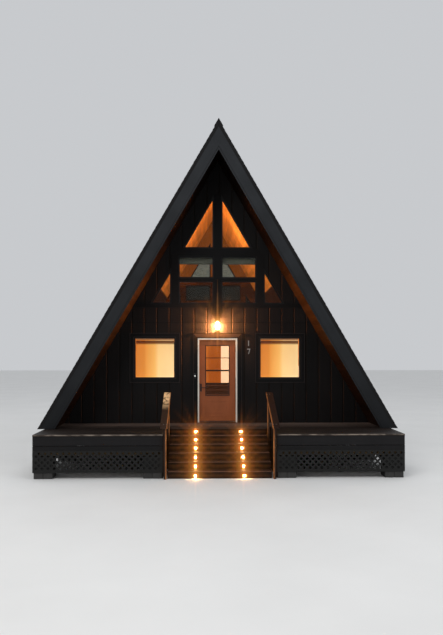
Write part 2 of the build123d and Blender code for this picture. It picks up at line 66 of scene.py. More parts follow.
# Places that the solids give
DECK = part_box("floor")[1].z
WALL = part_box("front_gable")[0].y
WALL_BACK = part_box("back_gable")[1].y
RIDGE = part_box("roofing_right")[1].z - DECK
ROOF_FRONT, ROOF_BACK = (corner.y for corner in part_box("roofing_right"))
LINING_FRONT, LINING_BACK = (corner.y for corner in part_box("lining_right"))
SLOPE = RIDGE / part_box("roofing_right")[1].x
PITCH = math.atan(SLOPE)
LINING_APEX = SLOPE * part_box("front_wall_right")[1].x
RAFTER_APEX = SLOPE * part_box("lining_right")[1].x
ROOF_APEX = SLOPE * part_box("roof_right")[1].x
HALF_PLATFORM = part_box("porch_deck")[1].x
HALF_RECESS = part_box("landing")[1].x
CASING_FACE = WALL - 0.021
LANTERN_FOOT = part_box("lantern")[0].z

# Other sizes that more than one piece or finish needs
WALL_SKIN = 0.02
INNER_BOARD = 0.14
RISERS = 6
PLAIN_TINT = 0.5


def shade(red, green, blue):
    """Linear colour of a screen colour given from 0 to 255."""
    parts = [v / 255 for v in (red, green, blue)]
    return tuple(((v + 0.055) / 1.055) ** 2.4 if v > 0.04 else v / 12.92 for v in parts)


def length(name, description, default):
    return bpy.props.FloatProperty(name=name, description=description, default=default, min=0.0005,
                                   precision=4, unit="LENGTH", subtype="DISTANCE")


def paint(name, description, default):
    return bpy.props.FloatVectorProperty(name=name, description=description, default=default, size=3,
                                         min=0.0, max=1.0, subtype="COLOR")


class CabinSizes(bpy.types.PropertyGroup):
    """Sizes of the boards, shingles and small fittings."""
    siding_pitch: length("Siding pitch", "Distance between the grooves of the wall boards", 0.3048)
    siding_phase: length("Siding phase", "Place of the first groove right of the middle", 0.045)
    siding_groove: length("Siding groove", "Width of the grooves in the wall boards", 0.018)
    siding_bevel: length("Siding bevel", "Bevel of the wall boards beside the grooves", 0.0085)
    siding_depth: length("Siding depth", "How far the wall boards stand off the wall", 0.009)
    sheet_seam: length("Sheet seam", "Height over the deck of the level seam in the wall boards", 2.46)
    shingle_width: length("Shingle width", "Width of one shingle tab", 0.33)
    shingle_course: length("Shingle course", "Height of one shingle course up the slope", 0.143)
    shingle_butt: length("Shingle butt", "Thickness of a shingle tab at its lower edge", 0.009)
    lining_board: length("Lining board", "Width of one lining board", 0.138)
    deck_board: length("Deck board", "Width of one deck board with its gap", 0.142)
    board_gap: length("Board gap", "Gap between deck boards", 0.006)
    edge_round: length("Edge rounding", "Rounding of board edges", 0.003)


class CabinColours(bpy.types.PropertyGroup):
    """Colours of the finishes."""
    siding: paint("Siding", "Stained wall boards", shade(17, 15, 15))
    trim: paint("Trim", "Casings and bands", shade(12, 11, 12))
    barge: paint("Barge boards", "Boards on the roof's edges", shade(43, 45, 48))
    skirt: paint("Skirt", "Boards round the platform", shade(25, 24, 25))
    lattice: paint("Lattice", "Painted lattice", shade(24, 24, 23))
    lining: paint("Lining", "Stained boards under the roof", shade(200, 130, 62))
    # Painted shade: the lining boards outside the rooms take this darker colour.
    shaded_soffit: paint("Soffit", "Stained boards under the roof's overhangs", shade(112, 60, 25))
    shingle: paint("Shingles", "Roof shingles", shade(44, 43, 44))
    deck: paint("Deck", "Weathered deck boards", shade(50, 42, 38))
    stair: paint("Stair", "Stained stair boards", shade(29, 18, 13))
    rail: paint("Handrail", "Stained handrail planks", shade(60, 42, 33))
    timber: paint("Structure", "Treated structural timber", shade(150, 124, 92))
    block: paint("Blocks", "Concrete blocks", shade(52, 51, 50))
    door: paint("Door", "Painted door", shade(146, 80, 46))
    jamb: paint("Door frame", "Off-white door frame", shade(226, 220, 208))
    glow: paint("Glow", "Warm lamp light", (1.0, 0.55, 0.2))


# Node trees

def operation(kind):
    """Method that puts a math node of this kind on a value and another one."""
    def method(self, other=0.0):
        return self.nodes.get("ShaderNodeMath", {"operation": kind}, i0=self, i1=other)
    return method


class Value:
    """An output in a node tree; numbers take the usual signs."""
    __add__, __sub__, __mul__, __truediv__ = map(operation, ("ADD", "SUBTRACT", "MULTIPLY", "DIVIDE"))
    __gt__, __lt__, __abs__ = map(operation, ("GREATER_THAN", "LESS_THAN", "ABSOLUTE"))
    floor, part, modulo, larger = map(operation, ("FLOOR", "FRACT", "MODULO", "MAXIMUM"))

    def __init__(self, nodes, socket):
        self.nodes = nodes
        self.socket = socket


class Nodes:
    """Maker of the nodes in a tree."""

    def __init__(self, tree):
        self.tree = tree

    def feed(self, target, value):
        if isinstance(value, Value):
            self.tree.links.new(value.socket, target)
        else:
            target.default_value = value

    def get(self, kind, options=(), out=0, **inputs):
        """Output of a new node; an input called i and a number is found by its place."""
        made = self.tree.nodes.new(kind)
        for key, value in dict(options).items():
            setattr(made, key, value)
        for key, value in inputs.items():
            by_place = key[1:].isdigit()
            self.feed(made.inputs[int(key[1:]) if by_place else key.replace("_", " ")], value)
        return Value(self, made.outputs[out])

    def axes(self, vector):
        parts = self.get("ShaderNodeSeparateXYZ", i0=vector).socket.node.outputs
        return [Value(self, part) for part in parts]


# Mesh helpers

def edit_data(*meshes):
    """Edit data of the meshes together."""
    bm = bmesh.new()
    for mesh in meshes:
        bm.from_mesh(mesh)
    return bm


def add_piece(name, bm, finish, body=CABIN, replaces=()):
    """Object for edit data, which is freed; its place is in its vertices and it rides on its body."""
    mesh = bpy.data.meshes.new(name)
    bm.to_mesh(mesh)
    bm.free()
    mesh.materials.append(FINISHES[finish].material)
    piece = bpy.data.objects.new(name, mesh)
    bpy.context.scene.collection.objects.link(piece)
    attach(piece, body)
    if replaces:
        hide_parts(*replaces)
    return piece


def tint_layer(bm):
    """Layer of the tint that each board carries."""
    return bm.verts.layers.float.get("board") or bm.verts.layers.float.new("board")


def add_box(bm, low, high, tint=PLAIN_TINT):
    """Closed box between two corners, with its board tint."""
    layer = tint_layer(bm)
    low, high = Vector(low), Vector(high)
    place = Matrix.Translation((low + high) / 2) @ Matrix.Diagonal((*(high - low), 1))
    for vert in bmesh.ops.create_cube(bm, size=1, matrix=place)["verts"]:
        vert[layer] = tint


def ring(bm, x0, x1, z0, z1, width, y0, y1):
    """Flat rectangular ring of four bars; a negative width lies outside the rectangle."""
    out, into = min(width, 0), max(width, 0)
    ox0, ox1, oz0, oz1 = x0 + out, x1 - out, z0 + out, z1 - out
    ix0, ix1, iz0, iz1 = x0 + into, x1 - into, z0 + into, z1 - into
    for a, b, low, high in ((ox0, ox1, oz0, iz0), (ox0, ox1, iz1, oz1), (ox0, ix0, iz0, iz1),
                            (ix1, ox1, iz0, iz1)):
        add_box(bm, (a, y0, low), (b, y1, high))


def add_prism(bm, points, y0, y1):
    """Closed prism of an (x, z) outline between two depths."""
    layer = tint_layer(bm)
    rings = [[bm.verts.new((x, y, z)) for x, z in points] for y in (y0, y1)]
    faces = [bm.faces.new(rings[0]), bm.faces.new(rings[1][::-1])]
    for i in range(len(points)):
        faces.append(bm.faces.new((rings[0][i], rings[1][i], rings[1][i - 1], rings[0][i - 1])))
    for vert in rings[0] + rings[1]:
        vert[layer] = PLAIN_TINT
    bmesh.ops.recalc_face_normals(bm, faces=faces)


def add_lathe(bm, profile, centre, axis="Z", sides=24):
    """Turned solid; the profile is (radius, height) points that begin and end on the axis."""
    layer = tint_layer(bm)
    turn = {"Z": Matrix.Identity(4), "Y": Matrix.Rotation(math.pi / 2, 4, "X"),
            "X": Matrix.Rotation(math.pi / 2, 4, "Y")}[axis]
    place = Matrix.Translation(centre) @ turn
    angles = [2 * math.pi * i / sides for i in range(sides)]
    rings = []
    for radius, height in profile:
        corners = [(radius * math.cos(a), radius * math.sin(a), height) for a in angles]
        if radius < 1e-6:
            corners = [(0, 0, height)]
        rings.append([bm.verts.new(place @ Vector(corner)) for corner in corners])
    faces = []
    for low, high in zip(rings, rings[1:]):
        for i in range(sides):
            j = (i + 1) % sides
            corners = [low[i % len(low)], low[j % len(low)], high[j % len(high)], high[i % len(high)]]
            unique = list(dict.fromkeys(corners))
            if len(unique) > 2:
                faces.append(bm.faces.new(unique))
    for face in faces:
        face.smooth = True
    for vert in sum(rings, []):
        vert[layer] = PLAIN_TINT
    bmesh.ops.recalc_face_normals(bm, faces=faces)


def round_edges(bm, offset, segments=1):
    """Round every sharp edge."""
    bm.normal_update()
    edges = [e for e in bm.edges if e.is_manifold and e.calc_face_angle(0) > 0.6]
    bmesh.ops.bevel(bm, geom=edges, offset=offset, segments=segments, profile=0.5, affect="EDGES",
                    clamp_overlap=True)
    return bm


def drop_flattened(bm):
    """Take out the blocks that the trim has flattened."""
    flat = {v for f in bm.faces if f.calc_area() < 1e-8 for v in f.verts}
    bmesh.ops.delete(bm, geom=list(flat), context="VERTS")
    return bm


def span(side, near, far):
    """Lower and higher end of a stretch that is given away from the middle or a face."""
    return sorted((side * near, side * far))


def on_side(bm, side):
    """Copy of edit data for this side of the middle, mirrored for the left one."""
    made = bm.copy()
    if side < 0:
        bmesh.ops.transform(made, matrix=Matrix.Diagonal((-1, 1, 1, 1)), verts=made.verts[:])
        bmesh.ops.reverse_faces(made, faces=made.faces[:])
    return made


def points_of(node):
    return [v.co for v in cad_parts[node].data.vertices]


def extents(node, x0, x1, z0, z1, on_wall=False):
    """Left, right, low and high edges of a node's points in these bounds; heights count from the deck."""
    points = [p for p in points_of(node) if x0 < p.x < x1 and DECK + z0 < p.z < DECK + z1
              and (abs(p.y - WALL) < 1e-3 or not on_wall)]
    xs, zs = [p.x for p in points], [p.z for p in points]
    return min(xs), max(xs), min(zs), max(zs)


def window_span():
    """Edges of the right square window's opening."""
    return extents("front_wall_right", 0.7, FAR, 0.5, 2.5, True)


# Geometry Nodes: blocks in rows, for boards and shingles

ROW_INPUTS = (
    ("Rows", "NodeSocketInt", 1), ("Columns", "NodeSocketInt", 1), ("Start", "NodeSocketVector", (0, 0, 0)),
    ("Row Step", "NodeSocketVector", (0, 0, 0)), ("Column Step", "NodeSocketVector", (0, 0, 0)),
    ("Stagger", "NodeSocketVector", (0, 0, 0)), ("Size", "NodeSocketVector", (1, 1, 1)),
    ("Taper", "NodeSocketFloat", 0.0), ("Unevenness", "NodeSocketVector", (0, 0, 0)),
    ("Low", "NodeSocketVector", (-99, -99, -99)), ("High", "NodeSocketVector", (99, 99, 99)),
    ("Seed", "NodeSocketInt", 1), ("Finish", "NodeSocketMaterial", None),
)


def build_rows_tree():
    """Node tree that sets blocks in rows and columns, tapers them and trims them to a box."""
    tree = bpy.data.node_groups.new("blocks_in_rows", "GeometryNodeTree")
    tree.interface.new_socket("Geometry", in_out="OUTPUT", socket_type="NodeSocketGeometry")
    for label, kind, value in ROW_INPUTS:
        made = tree.interface.new_socket(label, in_out="INPUT", socket_type=kind)
        if value is not None:
            made.default_value = value
    n = Nodes(tree)
    given = {socket.name: Value(n, socket) for socket in tree.nodes.new("NodeGroupInput").outputs}

    def vector(kind, a, b):
        return n.get("ShaderNodeVectorMath", {"operation": kind}, i0=a, i1=b)

    index = n.get("GeometryNodeInputIndex")
    row = (index / given["Columns"]).floor()
    place = given["Start"]
    for step, times in (("Row Step", row), ("Column Step", index - row * given["Columns"]),
                        ("Stagger", row.modulo(2.0))):
        move = n.get("ShaderNodeVectorMath", {"operation": "SCALE"}, i0=given[step], i3=times)
        place = vector("ADD", place, move)
    uneven = n.get("FunctionNodeRandomValue", {"data_type": "FLOAT_VECTOR"}, i0=(-1, -1, -1), i1=(1, 1, 1),
                   i8=given["Seed"])
    place = vector("ADD", place, vector("MULTIPLY", uneven, given["Unevenness"]))
    points = n.get("GeometryNodeMeshLine", Count=given["Rows"] * given["Columns"])
    points = n.get("GeometryNodeSetPosition", Geometry=points, Position=place)

    block = n.get("GeometryNodeMeshCube", Size=given["Size"])
    y, z = n.axes(n.get("GeometryNodeInputPosition"))[1:]
    size = n.axes(given["Size"])
    drop = (y / size[1] + 0.5) * size[2] * ((z > 0.0) * given["Taper"])
    lower = n.get("ShaderNodeCombineXYZ", Z=drop * -1.0)
    block = n.get("GeometryNodeSetPosition", Geometry=block, Offset=lower)

    copies = n.get("GeometryNodeInstanceOnPoints", Points=points, Instance=block)
    tint = n.get("FunctionNodeRandomValue", {"data_type": "FLOAT"}, 1, i8=given["Seed"] + 7.0)
    store = n.get("GeometryNodeStoreNamedAttribute", {"data_type": "FLOAT", "domain": "INSTANCE"},
                  Geometry=copies, Name="board", Value=tint)
    solid = n.get("GeometryNodeRealizeInstances", Geometry=store)
    place = vector("MAXIMUM", n.get("GeometryNodeInputPosition"), given["Low"])
    solid = n.get("GeometryNodeSetPosition", Geometry=solid, Position=vector("MINIMUM", place, given["High"]))
    solid = n.get("GeometryNodeSetMaterial", Geometry=solid, Material=given["Finish"])
    n.feed(tree.nodes.new("NodeGroupOutput").inputs[0], solid)
    return tree


def blocks_in_rows(finish, seed, **values):
    """Edit data of the tree's blocks; each name stands for the input of the same words."""
    tree = bpy.data.node_groups.get("blocks_in_rows") or build_rows_tree()
    carrier = bpy.data.objects.new("rows_maker", bpy.data.meshes.new("rows_maker"))
    bpy.context.scene.collection.objects.link(carrier)
    modifier = carrier.modifiers.new("rows", "NODES")
    modifier.node_group = tree
    identifiers = {s.name: s.identifier for s in tree.interface.items_tree if s.in_out == "INPUT"}
    for key, value in (("finish", FINISHES[finish].material), ("seed", seed), *values.items()):
        modifier[identifiers[key.replace("_", " ").title()]] = value
    bpy.context.view_layer.update()
    depsgraph = bpy.context.evaluated_depsgraph_get()
    mesh = bpy.data.meshes.new_from_object(carrier.evaluated_get(depsgraph))
    bpy.data.objects.remove(carrier)
    if not mesh.polygons:
        raise RuntimeError(f"the rows of {finish} came out empty")
    return edit_data(mesh)


# Finishes

FINISHES = {}


def opaque(colour):
    return colour if isinstance(colour, Value) else (*colour[:3], 1.0)


def scaled_colour(colour, factor):
    return tuple(min(1.0, c * factor) for c in colour[:3])


def over(colour, under):
    """Colour that turns another one into this one when the two are multiplied."""
    return tuple(a / b for a, b in zip(colour, under))


def stretched(axis, factor):
    """Scale of a pattern that is drawn out along one axis."""
    return [factor if name == axis else 1.0 for name in "XYZ"]


class Finish(Nodes):
    """A material whose pattern comes from the place on the object."""

    def __init__(self, name):
        self.material = bpy.data.materials.new(name)
        self.material.use_nodes = True
        super().__init__(self.material.node_tree)
        self.shader = self.tree.nodes["Principled BSDF"]
        self.place = self.get("ShaderNodeTexCoord", out="Object")
        self.x, self.y, self.z = self.axes(self.place)

    def set(self, **values):
        for key, value in values.items():
            self.feed(self.shader.inputs[key.replace("_", " ")], value)
        return self

    def spread(self, value, low, high, from_low=0.0, from_high=1.0):
        return self.get("ShaderNodeMapRange", i0=value, i1=from_low, i2=from_high, i3=low, i4=high)

    def fade(self, value, start, end):
        """From nought to one between two levels."""
        return self.spread(value, 0.0, 1.0, start, end)

    def noise(self, scale, stretch=(1, 1, 1), detail=4.0, rough=0.55, place=None):
        mapped = self.get("ShaderNodeMapping", Vector=place or self.place, Scale=stretch)
        return self.get("ShaderNodeTexNoise", Vector=mapped, Scale=scale, Detail=detail, Roughness=rough)

    def blend(self, factor, a, b, mode="MIX"):
        options = {"data_type": "RGBA", "blend_type": mode}
        return self.get("ShaderNodeMix", options, 2, i0=factor, i6=opaque(a), i7=opaque(b))

    def times(self, a, b):
        """Product of two colours."""
        return self.blend(1.0, a, b, "MULTIPLY")

    def vary(self, value, colour, dark, light, low=0.3, high=0.7):
        """Colour between a darker and a lighter one, by a pattern."""
        shades = scaled_colour(colour, dark), scaled_colour(colour, light)
        return self.blend(self.fade(value, low, high), *shades)

    def ramp(self, value, stops):
        made = self.get("ShaderNodeValToRGB", i0=value)
        points = made.socket.node.color_ramp.elements
        for i, (place, colour) in enumerate(stops):
            point = points[i] if i < 2 else points.new(place)
            point.position = place
            point.color = opaque(colour)
        return made

    def near(self, value, level, reach):
        """One where a value lies within this reach of a level."""
        return self.get("ShaderNodeMath", {"operation": "COMPARE"}, i0=value, i1=level, i2=reach)

    def facing(self):
        """The X, Y and Z of the direction that a face looks in."""
        return self.axes(self.get("ShaderNodeNewGeometry", out="True Normal"))

    def board(self):
        """The tint that each board carries, from 0 to 1."""
        return self.get("ShaderNodeAttribute", {"attribute_name": "board"}, "Fac")

    def indoors(self):
        """One inside the rooms."""
        return (self.y > WALL + WALL_SKIN) * (self.y < WALL_BACK - WALL_SKIN)

    def slope_place(self):
        """Place measured along the building, up the slope and square to it, the same on both slopes."""
        sine, cosine = math.sin(PITCH), math.cos(PITCH)
        out = abs(self.x)
        return self.get("ShaderNodeCombineXYZ", X=self.y, Y=self.z * sine - out * cosine,
                        Z=out * sine + self.z * cosine)

    @property
    def base(self):
        """What feeds the base colour so far."""
        return Value(self, self.shader.inputs["Base Color"].links[0].from_socket)

    def cover(self, mask, colour):
        """Lay a colour over the base colour where the mask is one."""
        return self.set(Base_Color=self.blend(mask, self.base, colour))

    def tinge(self, mask, colour):
        """Multiply the base colour by another one where the mask is one."""
        base = self.base
        return self.set(Base_Color=self.blend(mask, base, self.times(base, colour)))

    def dim(self, tone):
        """Multiply the base colour by a grey tone."""
        grey = self.get("ShaderNodeCombineColor", Red=tone, Green=tone, Blue=tone)
        return self.set(Base_Color=self.times(self.base, grey))

    def bump(self, height, strength, distance):
        made = self.get("ShaderNodeBump", Height=height, Strength=strength, Distance=distance)
        return self.set(Normal=made)


def wood(name, colour, along, contrast, roughness=(0.5, 0.75), relief=0.35, on_slope=False, tint=0.25,
         weather=None):
    """Boards with grain along an axis, a tint for each board and weathered patches."""
    f = Finish(name)
    place = f.slope_place() if on_slope else f.place
    fibres = f.noise(95.0, stretched(along, 0.045), 5.0, 0.65, place)
    figure = f.noise(14.0, stretched(along, 0.045), 3.0, 0.5, place)
    patches = f.noise(1.3, (1, 1, 1), 3.0, 0.5, place)
    grain = fibres * 0.6 + figure * 0.4
    f.set(Base_Color=f.vary(grain, colour, 1 - contrast, 1 + contrast), Specular_IOR_Level=0.12,
          Roughness=f.spread(fibres, *roughness, 0.3, 0.7))
    f.dim(f.spread(f.board(), 1 - tint, 1 + tint) * f.spread(patches, 0.82, 1.18, 0.3, 0.7))
    if weather:
        f.cover(f.spread(patches, 0.0, 0.55, 0.45, 0.75), weather)
    return f.bump(grain, relief, 0.0025)


def shingle_finish(name, colour):
    """Mineral granules on roof tabs."""
    f = Finish(name)
    place = f.slope_place()
    grit = f.noise(420.0, (1, 1, 1), 2.0, 0.6, place)
    cloud = f.noise(2.2, (1, 1, 1), 3.0, 0.5, place)
    f.set(Base_Color=f.vary(grit, colour, 0.55, 1.5, 0.35, 0.65), Roughness=f.spread(grit, 0.82, 0.98),
          Specular_IOR_Level=0.2)
    f.dim(f.spread(f.board(), 0.82, 1.18) * f.spread(cloud, 0.85, 1.15, 0.3, 0.7))
    return f.bump(grit, 0.6, 0.002)


def block_finish(name, colour):
    """Open-textured concrete block, darkened by painted shade above the lattices' foot."""
    f = Finish(name)
    grit = f.noise(160.0, detail=5.0, rough=0.7)
    pits = f.get("ShaderNodeTexVoronoi", out="Distance", Vector=f.place, Scale=130.0)
    f.set(Base_Color=f.vary(f.noise(4.0), colour, 0.75, 1.1), Roughness=f.spread(grit, 0.8, 0.98))
    f.cover(f.spread(grit, 0.0, 0.4, 0.5, 0.75), scaled_colour(colour, 0.5))
    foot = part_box("front_lattices")[0].z
    # Painted shade: the blocks darken above the lattices' foot.
    f.dim(f.spread(f.board(), 0.85, 1.12) * f.spread(f.z, 1.0, 0.2, foot - 0.02, foot + 0.05))
    return f.bump(grit + pits, 0.7, 0.003)


def metal(name, colour, metallic, roughness, along=None, relief=0.1):
    """Painted or brushed metal, or rubber, with fine marks."""
    f = Finish(name)
    marks = f.noise(240.0, stretched(along, 0.03), 3.0, 0.6)
    f.set(Base_Color=f.vary(f.noise(5.0, detail=3.0), colour, 0.85, 1.15), Metallic=metallic,
          Roughness=f.spread(marks, *roughness, 0.3, 0.7))
    return f.bump(marks, relief, 0.0006)


def painted(name, colour, roughness, relief=0.12, along="Z"):
    """Brush-painted wood."""
    f = Finish(name)
    strokes = f.noise(120.0, stretched(along, 0.06), 4.0, 0.6)
    f.set(Base_Color=f.vary(f.noise(3.0, detail=3.0), colour, 0.88, 1.1), Specular_IOR_Level=0.2,
          Roughness=f.spread(strokes, *roughness, 0.3, 0.7))
    f.cover(f.spread(strokes, 0.0, 0.25, 0.4, 0.7), scaled_colour(colour, 0.7))
    return f.bump(strokes, relief, 0.001)


def glass(name, tint=(0.94, 0.96, 0.95)):
    """Clear glass with faint unevenness."""
    f = Finish(name)
    f.set(Base_Color=opaque(tint), Transmission_Weight=1.0, IOR=1.18,
          Roughness=f.spread(f.noise(40.0), 0.0, 0.05, 0.4, 0.8))
    return f.bump(f.noise(2.0, detail=2.0), 0.05, 0.002)


def back_glass_finish(name):
    """Glass darkened and mottled with painted shade for the dusk beyond the back windows, darker under the
    peak windows.
    """
    f = glass(name)
    mottle = f.fade(f.noise(9.0, (1, 1, 1), 3.0), 0.42, 0.6)
    # Painted shade: the dark, mottled colour stands for the dusk beyond the glass.
    f.set(Base_Color=f.blend(mottle, (0.16, 0.16, 0.125), (0.24, 0.225, 0.17)))
    return f.dim(f.spread(f.z, 0.1, 1.0, DECK + 4.1, DECK + 4.25))


def glowing(name, colour, strength, base=(1.0, 0.8, 0.55)):
    """Lit lens or bulb, or a roller tube whose glow is painted light."""
    f = Finish(name)
    cloud = f.noise(30.0, detail=2.0)
    return f.set(Base_Color=opaque(base), Emission_Color=opaque(colour), Roughness=f.spread(cloud, 0.3, 0.45),
                 Emission_Strength=f.spread(cloud, strength * 0.85, strength * 1.15, 0.3, 0.7))


def painted_room_glow(f, strength, colour, outside):
    """Paints a warm glow of lamp light into a finish inside the rooms, stronger towards the front, and paints
    shade by height on it outside the rooms, lightest midway up and darkest high under the roof.
    """
    # Painted shade by height outside the rooms: this ramp darkens the soffit high under the roof and near the
    # deck.
    painted_light_levels = ((0.1, 0.12), (0.27, 0.3), (0.4, 0.9), (0.55, 1.0), (0.66, 0.35), (0.75, 0.08), (0.9, 0.03))
    soffit_height = 6.0
    height = f.ramp(f.fade(f.z, DECK, DECK + soffit_height), [(place, (v, v, v)) for place, v in painted_light_levels])
    outer = f.times(f.times(f.base, outside), height)
    room = f.indoors()
    # Painted light: the rooms' side glows as if the lamps lit it.
    return f.set(Emission_Color=f.times(f.base, colour), Base_Color=f.blend(room, outer, f.base),
                 Emission_Strength=room * f.spread(f.y, 1.3, 0.5, WALL, WALL_BACK) * strength)


def shade_finish(name):
    """Pale roller shade whose colour and glow are painted light from the room behind it, orange at its left
    edge and cream at its right, with a painted shade band under its tube and a painted highlight at its foot.
    """
    f = Finish(name)
    left, right, _, top = window_span()
    across = f.fade(f.x + (f.x < 0.0) * (left + right), left, right)
    weave = f.noise(260.0, (1, 1, 0.2), 3.0)
    cloud = f.noise(2.4, (1, 1, 0.4), 3.0)
    glow = ((0.0, shade(218, 128, 48)), (0.24, shade(224, 136, 54)), (0.28, shade(233, 152, 66)),
            (0.50, shade(248, 184, 100)), (0.58, shade(252, 204, 138)), (1.0, shade(253, 214, 156)))
    painted_light_bands = ((0.0, (0.9, 0.8, 0.75)), (0.045, (0.86, 0.74, 0.7)), (0.055, (0.14, 0.08, 0.05)),
             (0.12, (0.17, 0.10, 0.06)), (0.16, (0.9, 0.84, 0.75)), (0.96, (1.0, 1.0, 1.0)),
             (0.97, (1.15, 1.15, 1.2)))
    # Painted light: the ramps give the glow across the shade, a dark band under the tube and a bright strip
    # at the foot.
    tone = f.times(f.ramp(across, glow), f.ramp(f.fade(f.z, top - 0.035, top - 0.985), painted_light_bands))
    f.set(Base_Color=f.times(tone, (0.35, 0.35, 0.35)), Emission_Color=tone,
          Emission_Strength=f.spread(cloud, 0.92, 1.06, 0.3, 0.7), Roughness=f.spread(weave, 0.8, 0.95))
    return f.bump(weave, 0.2, 0.0005)


def dim_band(f, low, high, tone):
    """Darken the rooms' side of a finish between two heights over the deck, with boards and patches."""
    level = (f.z > DECK + low) * f.spread(f.z, 1.0, 0.0, DECK + high, DECK + high + 0.04)
    joint = (f.z / INNER_BOARD).part() < 0.08
    dark = f.vary(f.noise(2.6, (1, 1, 1.6), 2.0), tone, 1.0, 2.0, 0.52, 0.6)
    dark = f.blend(joint, dark, scaled_colour(tone, 0.4))
    return f.tinge(f.indoors() * level, dark)


def inner_wall_finish(name, boards):
    """Pine boards on the rooms' walls, with a cream part and a dark dado on the ground floor."""
    f = wood(name, boards, "Z", 0.2)
    f.cover((f.x / INNER_BOARD).part() < 0.05, scaled_colour(boards, 0.55))
    plain = f.base
    ground_floor = f.z < DECK + 2.7
    f.tinge(ground_floor, f.blend(f.spread(f.x, 1.0, 0.0, -0.5, -0.1), (0.72, 0.66, 0.5), (1.5, 1.7, 1.7)))
    f.cover(ground_floor * (f.x > 0.27), (1.0, 1.0, 0.95))
    f.tinge(f.z > DECK + 2.75, (0.5, 0.5, 0.34))
    dado = f.z < DECK + 0.67
    f.cover(dado, shade(45, 30, 21))
    f.cover(dado * (abs((f.z / 0.16).part() - 0.5) < 0.06), shade(92, 62, 44))
    f.set(Base_Color=f.blend(f.indoors(), plain, f.base))
    return dim_band(f, 2.75, 4.2, (0.22, 0.16, 0.12))


def floor_finish(name, boards, rim, deck):
    """Floor boards inside, and the painted rim of the floor outside."""
    f = wood(name, boards, "Y", 0.3, (0.35, 0.55), 0.3)
    f.cover((f.x / INNER_BOARD).part() < 0.03, scaled_colour(boards, 0.3))
    f.cover(f.y > WALL_BACK, deck)
    return f.set(Base_Color=f.blend(f.z > DECK - 0.004, rim, f.base))


def deck_finish(name, colour):
    """Damp deck boards, lighter near the wall, with a pale, broken line along the front edge."""
    f = wood(name, colour, "X", 0.35, (0.35, 0.75), 0.6, weather=scaled_colour(colour, 0.45))
    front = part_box("porch_deck")[0].y
    edge = f.spread(f.y, 1.0, 0.0, front + 0.004, front + 0.03)
    edge = edge * f.fade(f.z, DECK - 0.03, DECK - 0.012)
    # Patches that break the pale line along the front edge.
    pale_marks = f.spread(f.noise(22.0, (0.25, 1, 1), 3.0), 0.1, 1.0, 0.4, 0.62)
    f.dim(f.spread(f.y, 0.6, 3.6, WALL - 1.1, WALL - 0.4))
    return f.cover(edge * pale_marks, shade(140, 128, 117))


def siding_finish(name, colour):
    """Wall boards, with a warm painted highlight on the bevels beside the grooves."""
    f = wood(name, colour, "Z", 0.3, (0.55, 0.8), 0.5, tint=0.12)
    aside = abs(f.facing()[0])
    # Painted highlight: the bevels that face sideways are made paler and warmer.
    return f.tinge((aside > 0.3) * (aside < 0.9), (2.4, 1.7, 1.1))


def barge_finish(name, colour):
    """Roof edge boards with a shadow line near their inner edge, darker towards the foot."""
    f = wood(name, colour, "Y", 0.16, (0.5, 0.7), 0.3, on_slope=True)
    inner = min(p.z for p in points_of("front_barge_board_right") if abs(p.x) < 1e-3) * math.cos(PITCH)
    line = f.near(f.axes(f.slope_place())[2], inner + 0.036, 0.006)
    return f.dim(f.spread(f.z, 0.55, 1.1, DECK, DECK + 5.0) * f.spread(line, 1.0, 0.3))


def skirt_finish(name, colour):
    """Skirt boards along the sides, with the joint between their two planks."""
    f = wood(name, colour, "Y", 0.25, (0.5, 0.75), 0.4)
    low, high = (corner.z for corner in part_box("side_skirt_boards"))
    return f.cover(f.near(f.z, low + (high - low) / 3, 0.005), scaled_colour(colour, 0.2))


def ridge_finish(name, colour, course):
    """Ridge shingles that lap along the building."""
    f = shingle_finish(name, colour)
    along = f.y / course
    tint = f.get("ShaderNodeTexWhiteNoise", {"noise_dimensions": "1D"}, "Value", W=along.floor())
    return f.dim(f.spread(tint, 0.75, 1.3) * f.spread(along.part() < 0.06, 1.0, 0.25))


def painted_lit_edge(f, node, width):
    """Painted highlight of warm light on the edge of the rails or posts that faces the stair."""
    inner = min(abs(p.x) for p in points_of(node))
    edge = (abs(f.x) < inner + width) * f.spread(f.noise(7.0, (0.2, 1, 1), 3.0), 0.45, 1.0, 0.35, 0.6)
    # Painted highlight: an orange band along the inner edge.
    return f.cover(edge, shade(178, 112, 62))


def rail_finish(name, colour):
    """Handrail planks, with a painted reflection of lamp light near the left one's upper end and painted
    shade on the right one.
    """
    f = wood(name, colour, "Y", 0.35, (0.45, 0.7), 0.4)
    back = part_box("handrails")[1].y
    # Painted reflection: pale patches near the left rail's upper end.
    pale_marks = (f.x < 0.0) * f.fade(f.y, back - 0.85, back - 0.35)
    pale_marks = pale_marks * f.spread(f.noise(12.0, (1, 0.6, 1), 3.0), 0.25, 1.0, 0.40, 0.50)
    # Painted shade: the right rail is darkened.
    f.tinge(f.x > 0.0, (0.55, 0.45, 0.5))
    f.cover(pale_marks, shade(250, 204, 150))
    return painted_lit_edge(f, "handrails", 0.014)


def jamb_finish(name, colour):
    """Off-white door frame with a dark band along its outer edges and top."""
    f = painted(name, colour, (0.35, 0.5))
    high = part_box("door_frame")[1]
    return f.cover((abs(f.x) > high.x - 0.010).larger(f.z > high.z - 0.008), shade(24, 19, 17))


def stair_finish(name, colour):
    """Stained stair boards, with a painted highlight on their rounded front edges."""
    f = wood(name, colour, "X", 0.35, (0.45, 0.7), 0.45)
    y, z = f.facing()[1:]
    # Painted highlight on the faces of the rounded nosings.
    return f.cover((y < -0.3) * (z > 0.3), shade(150, 104, 84))


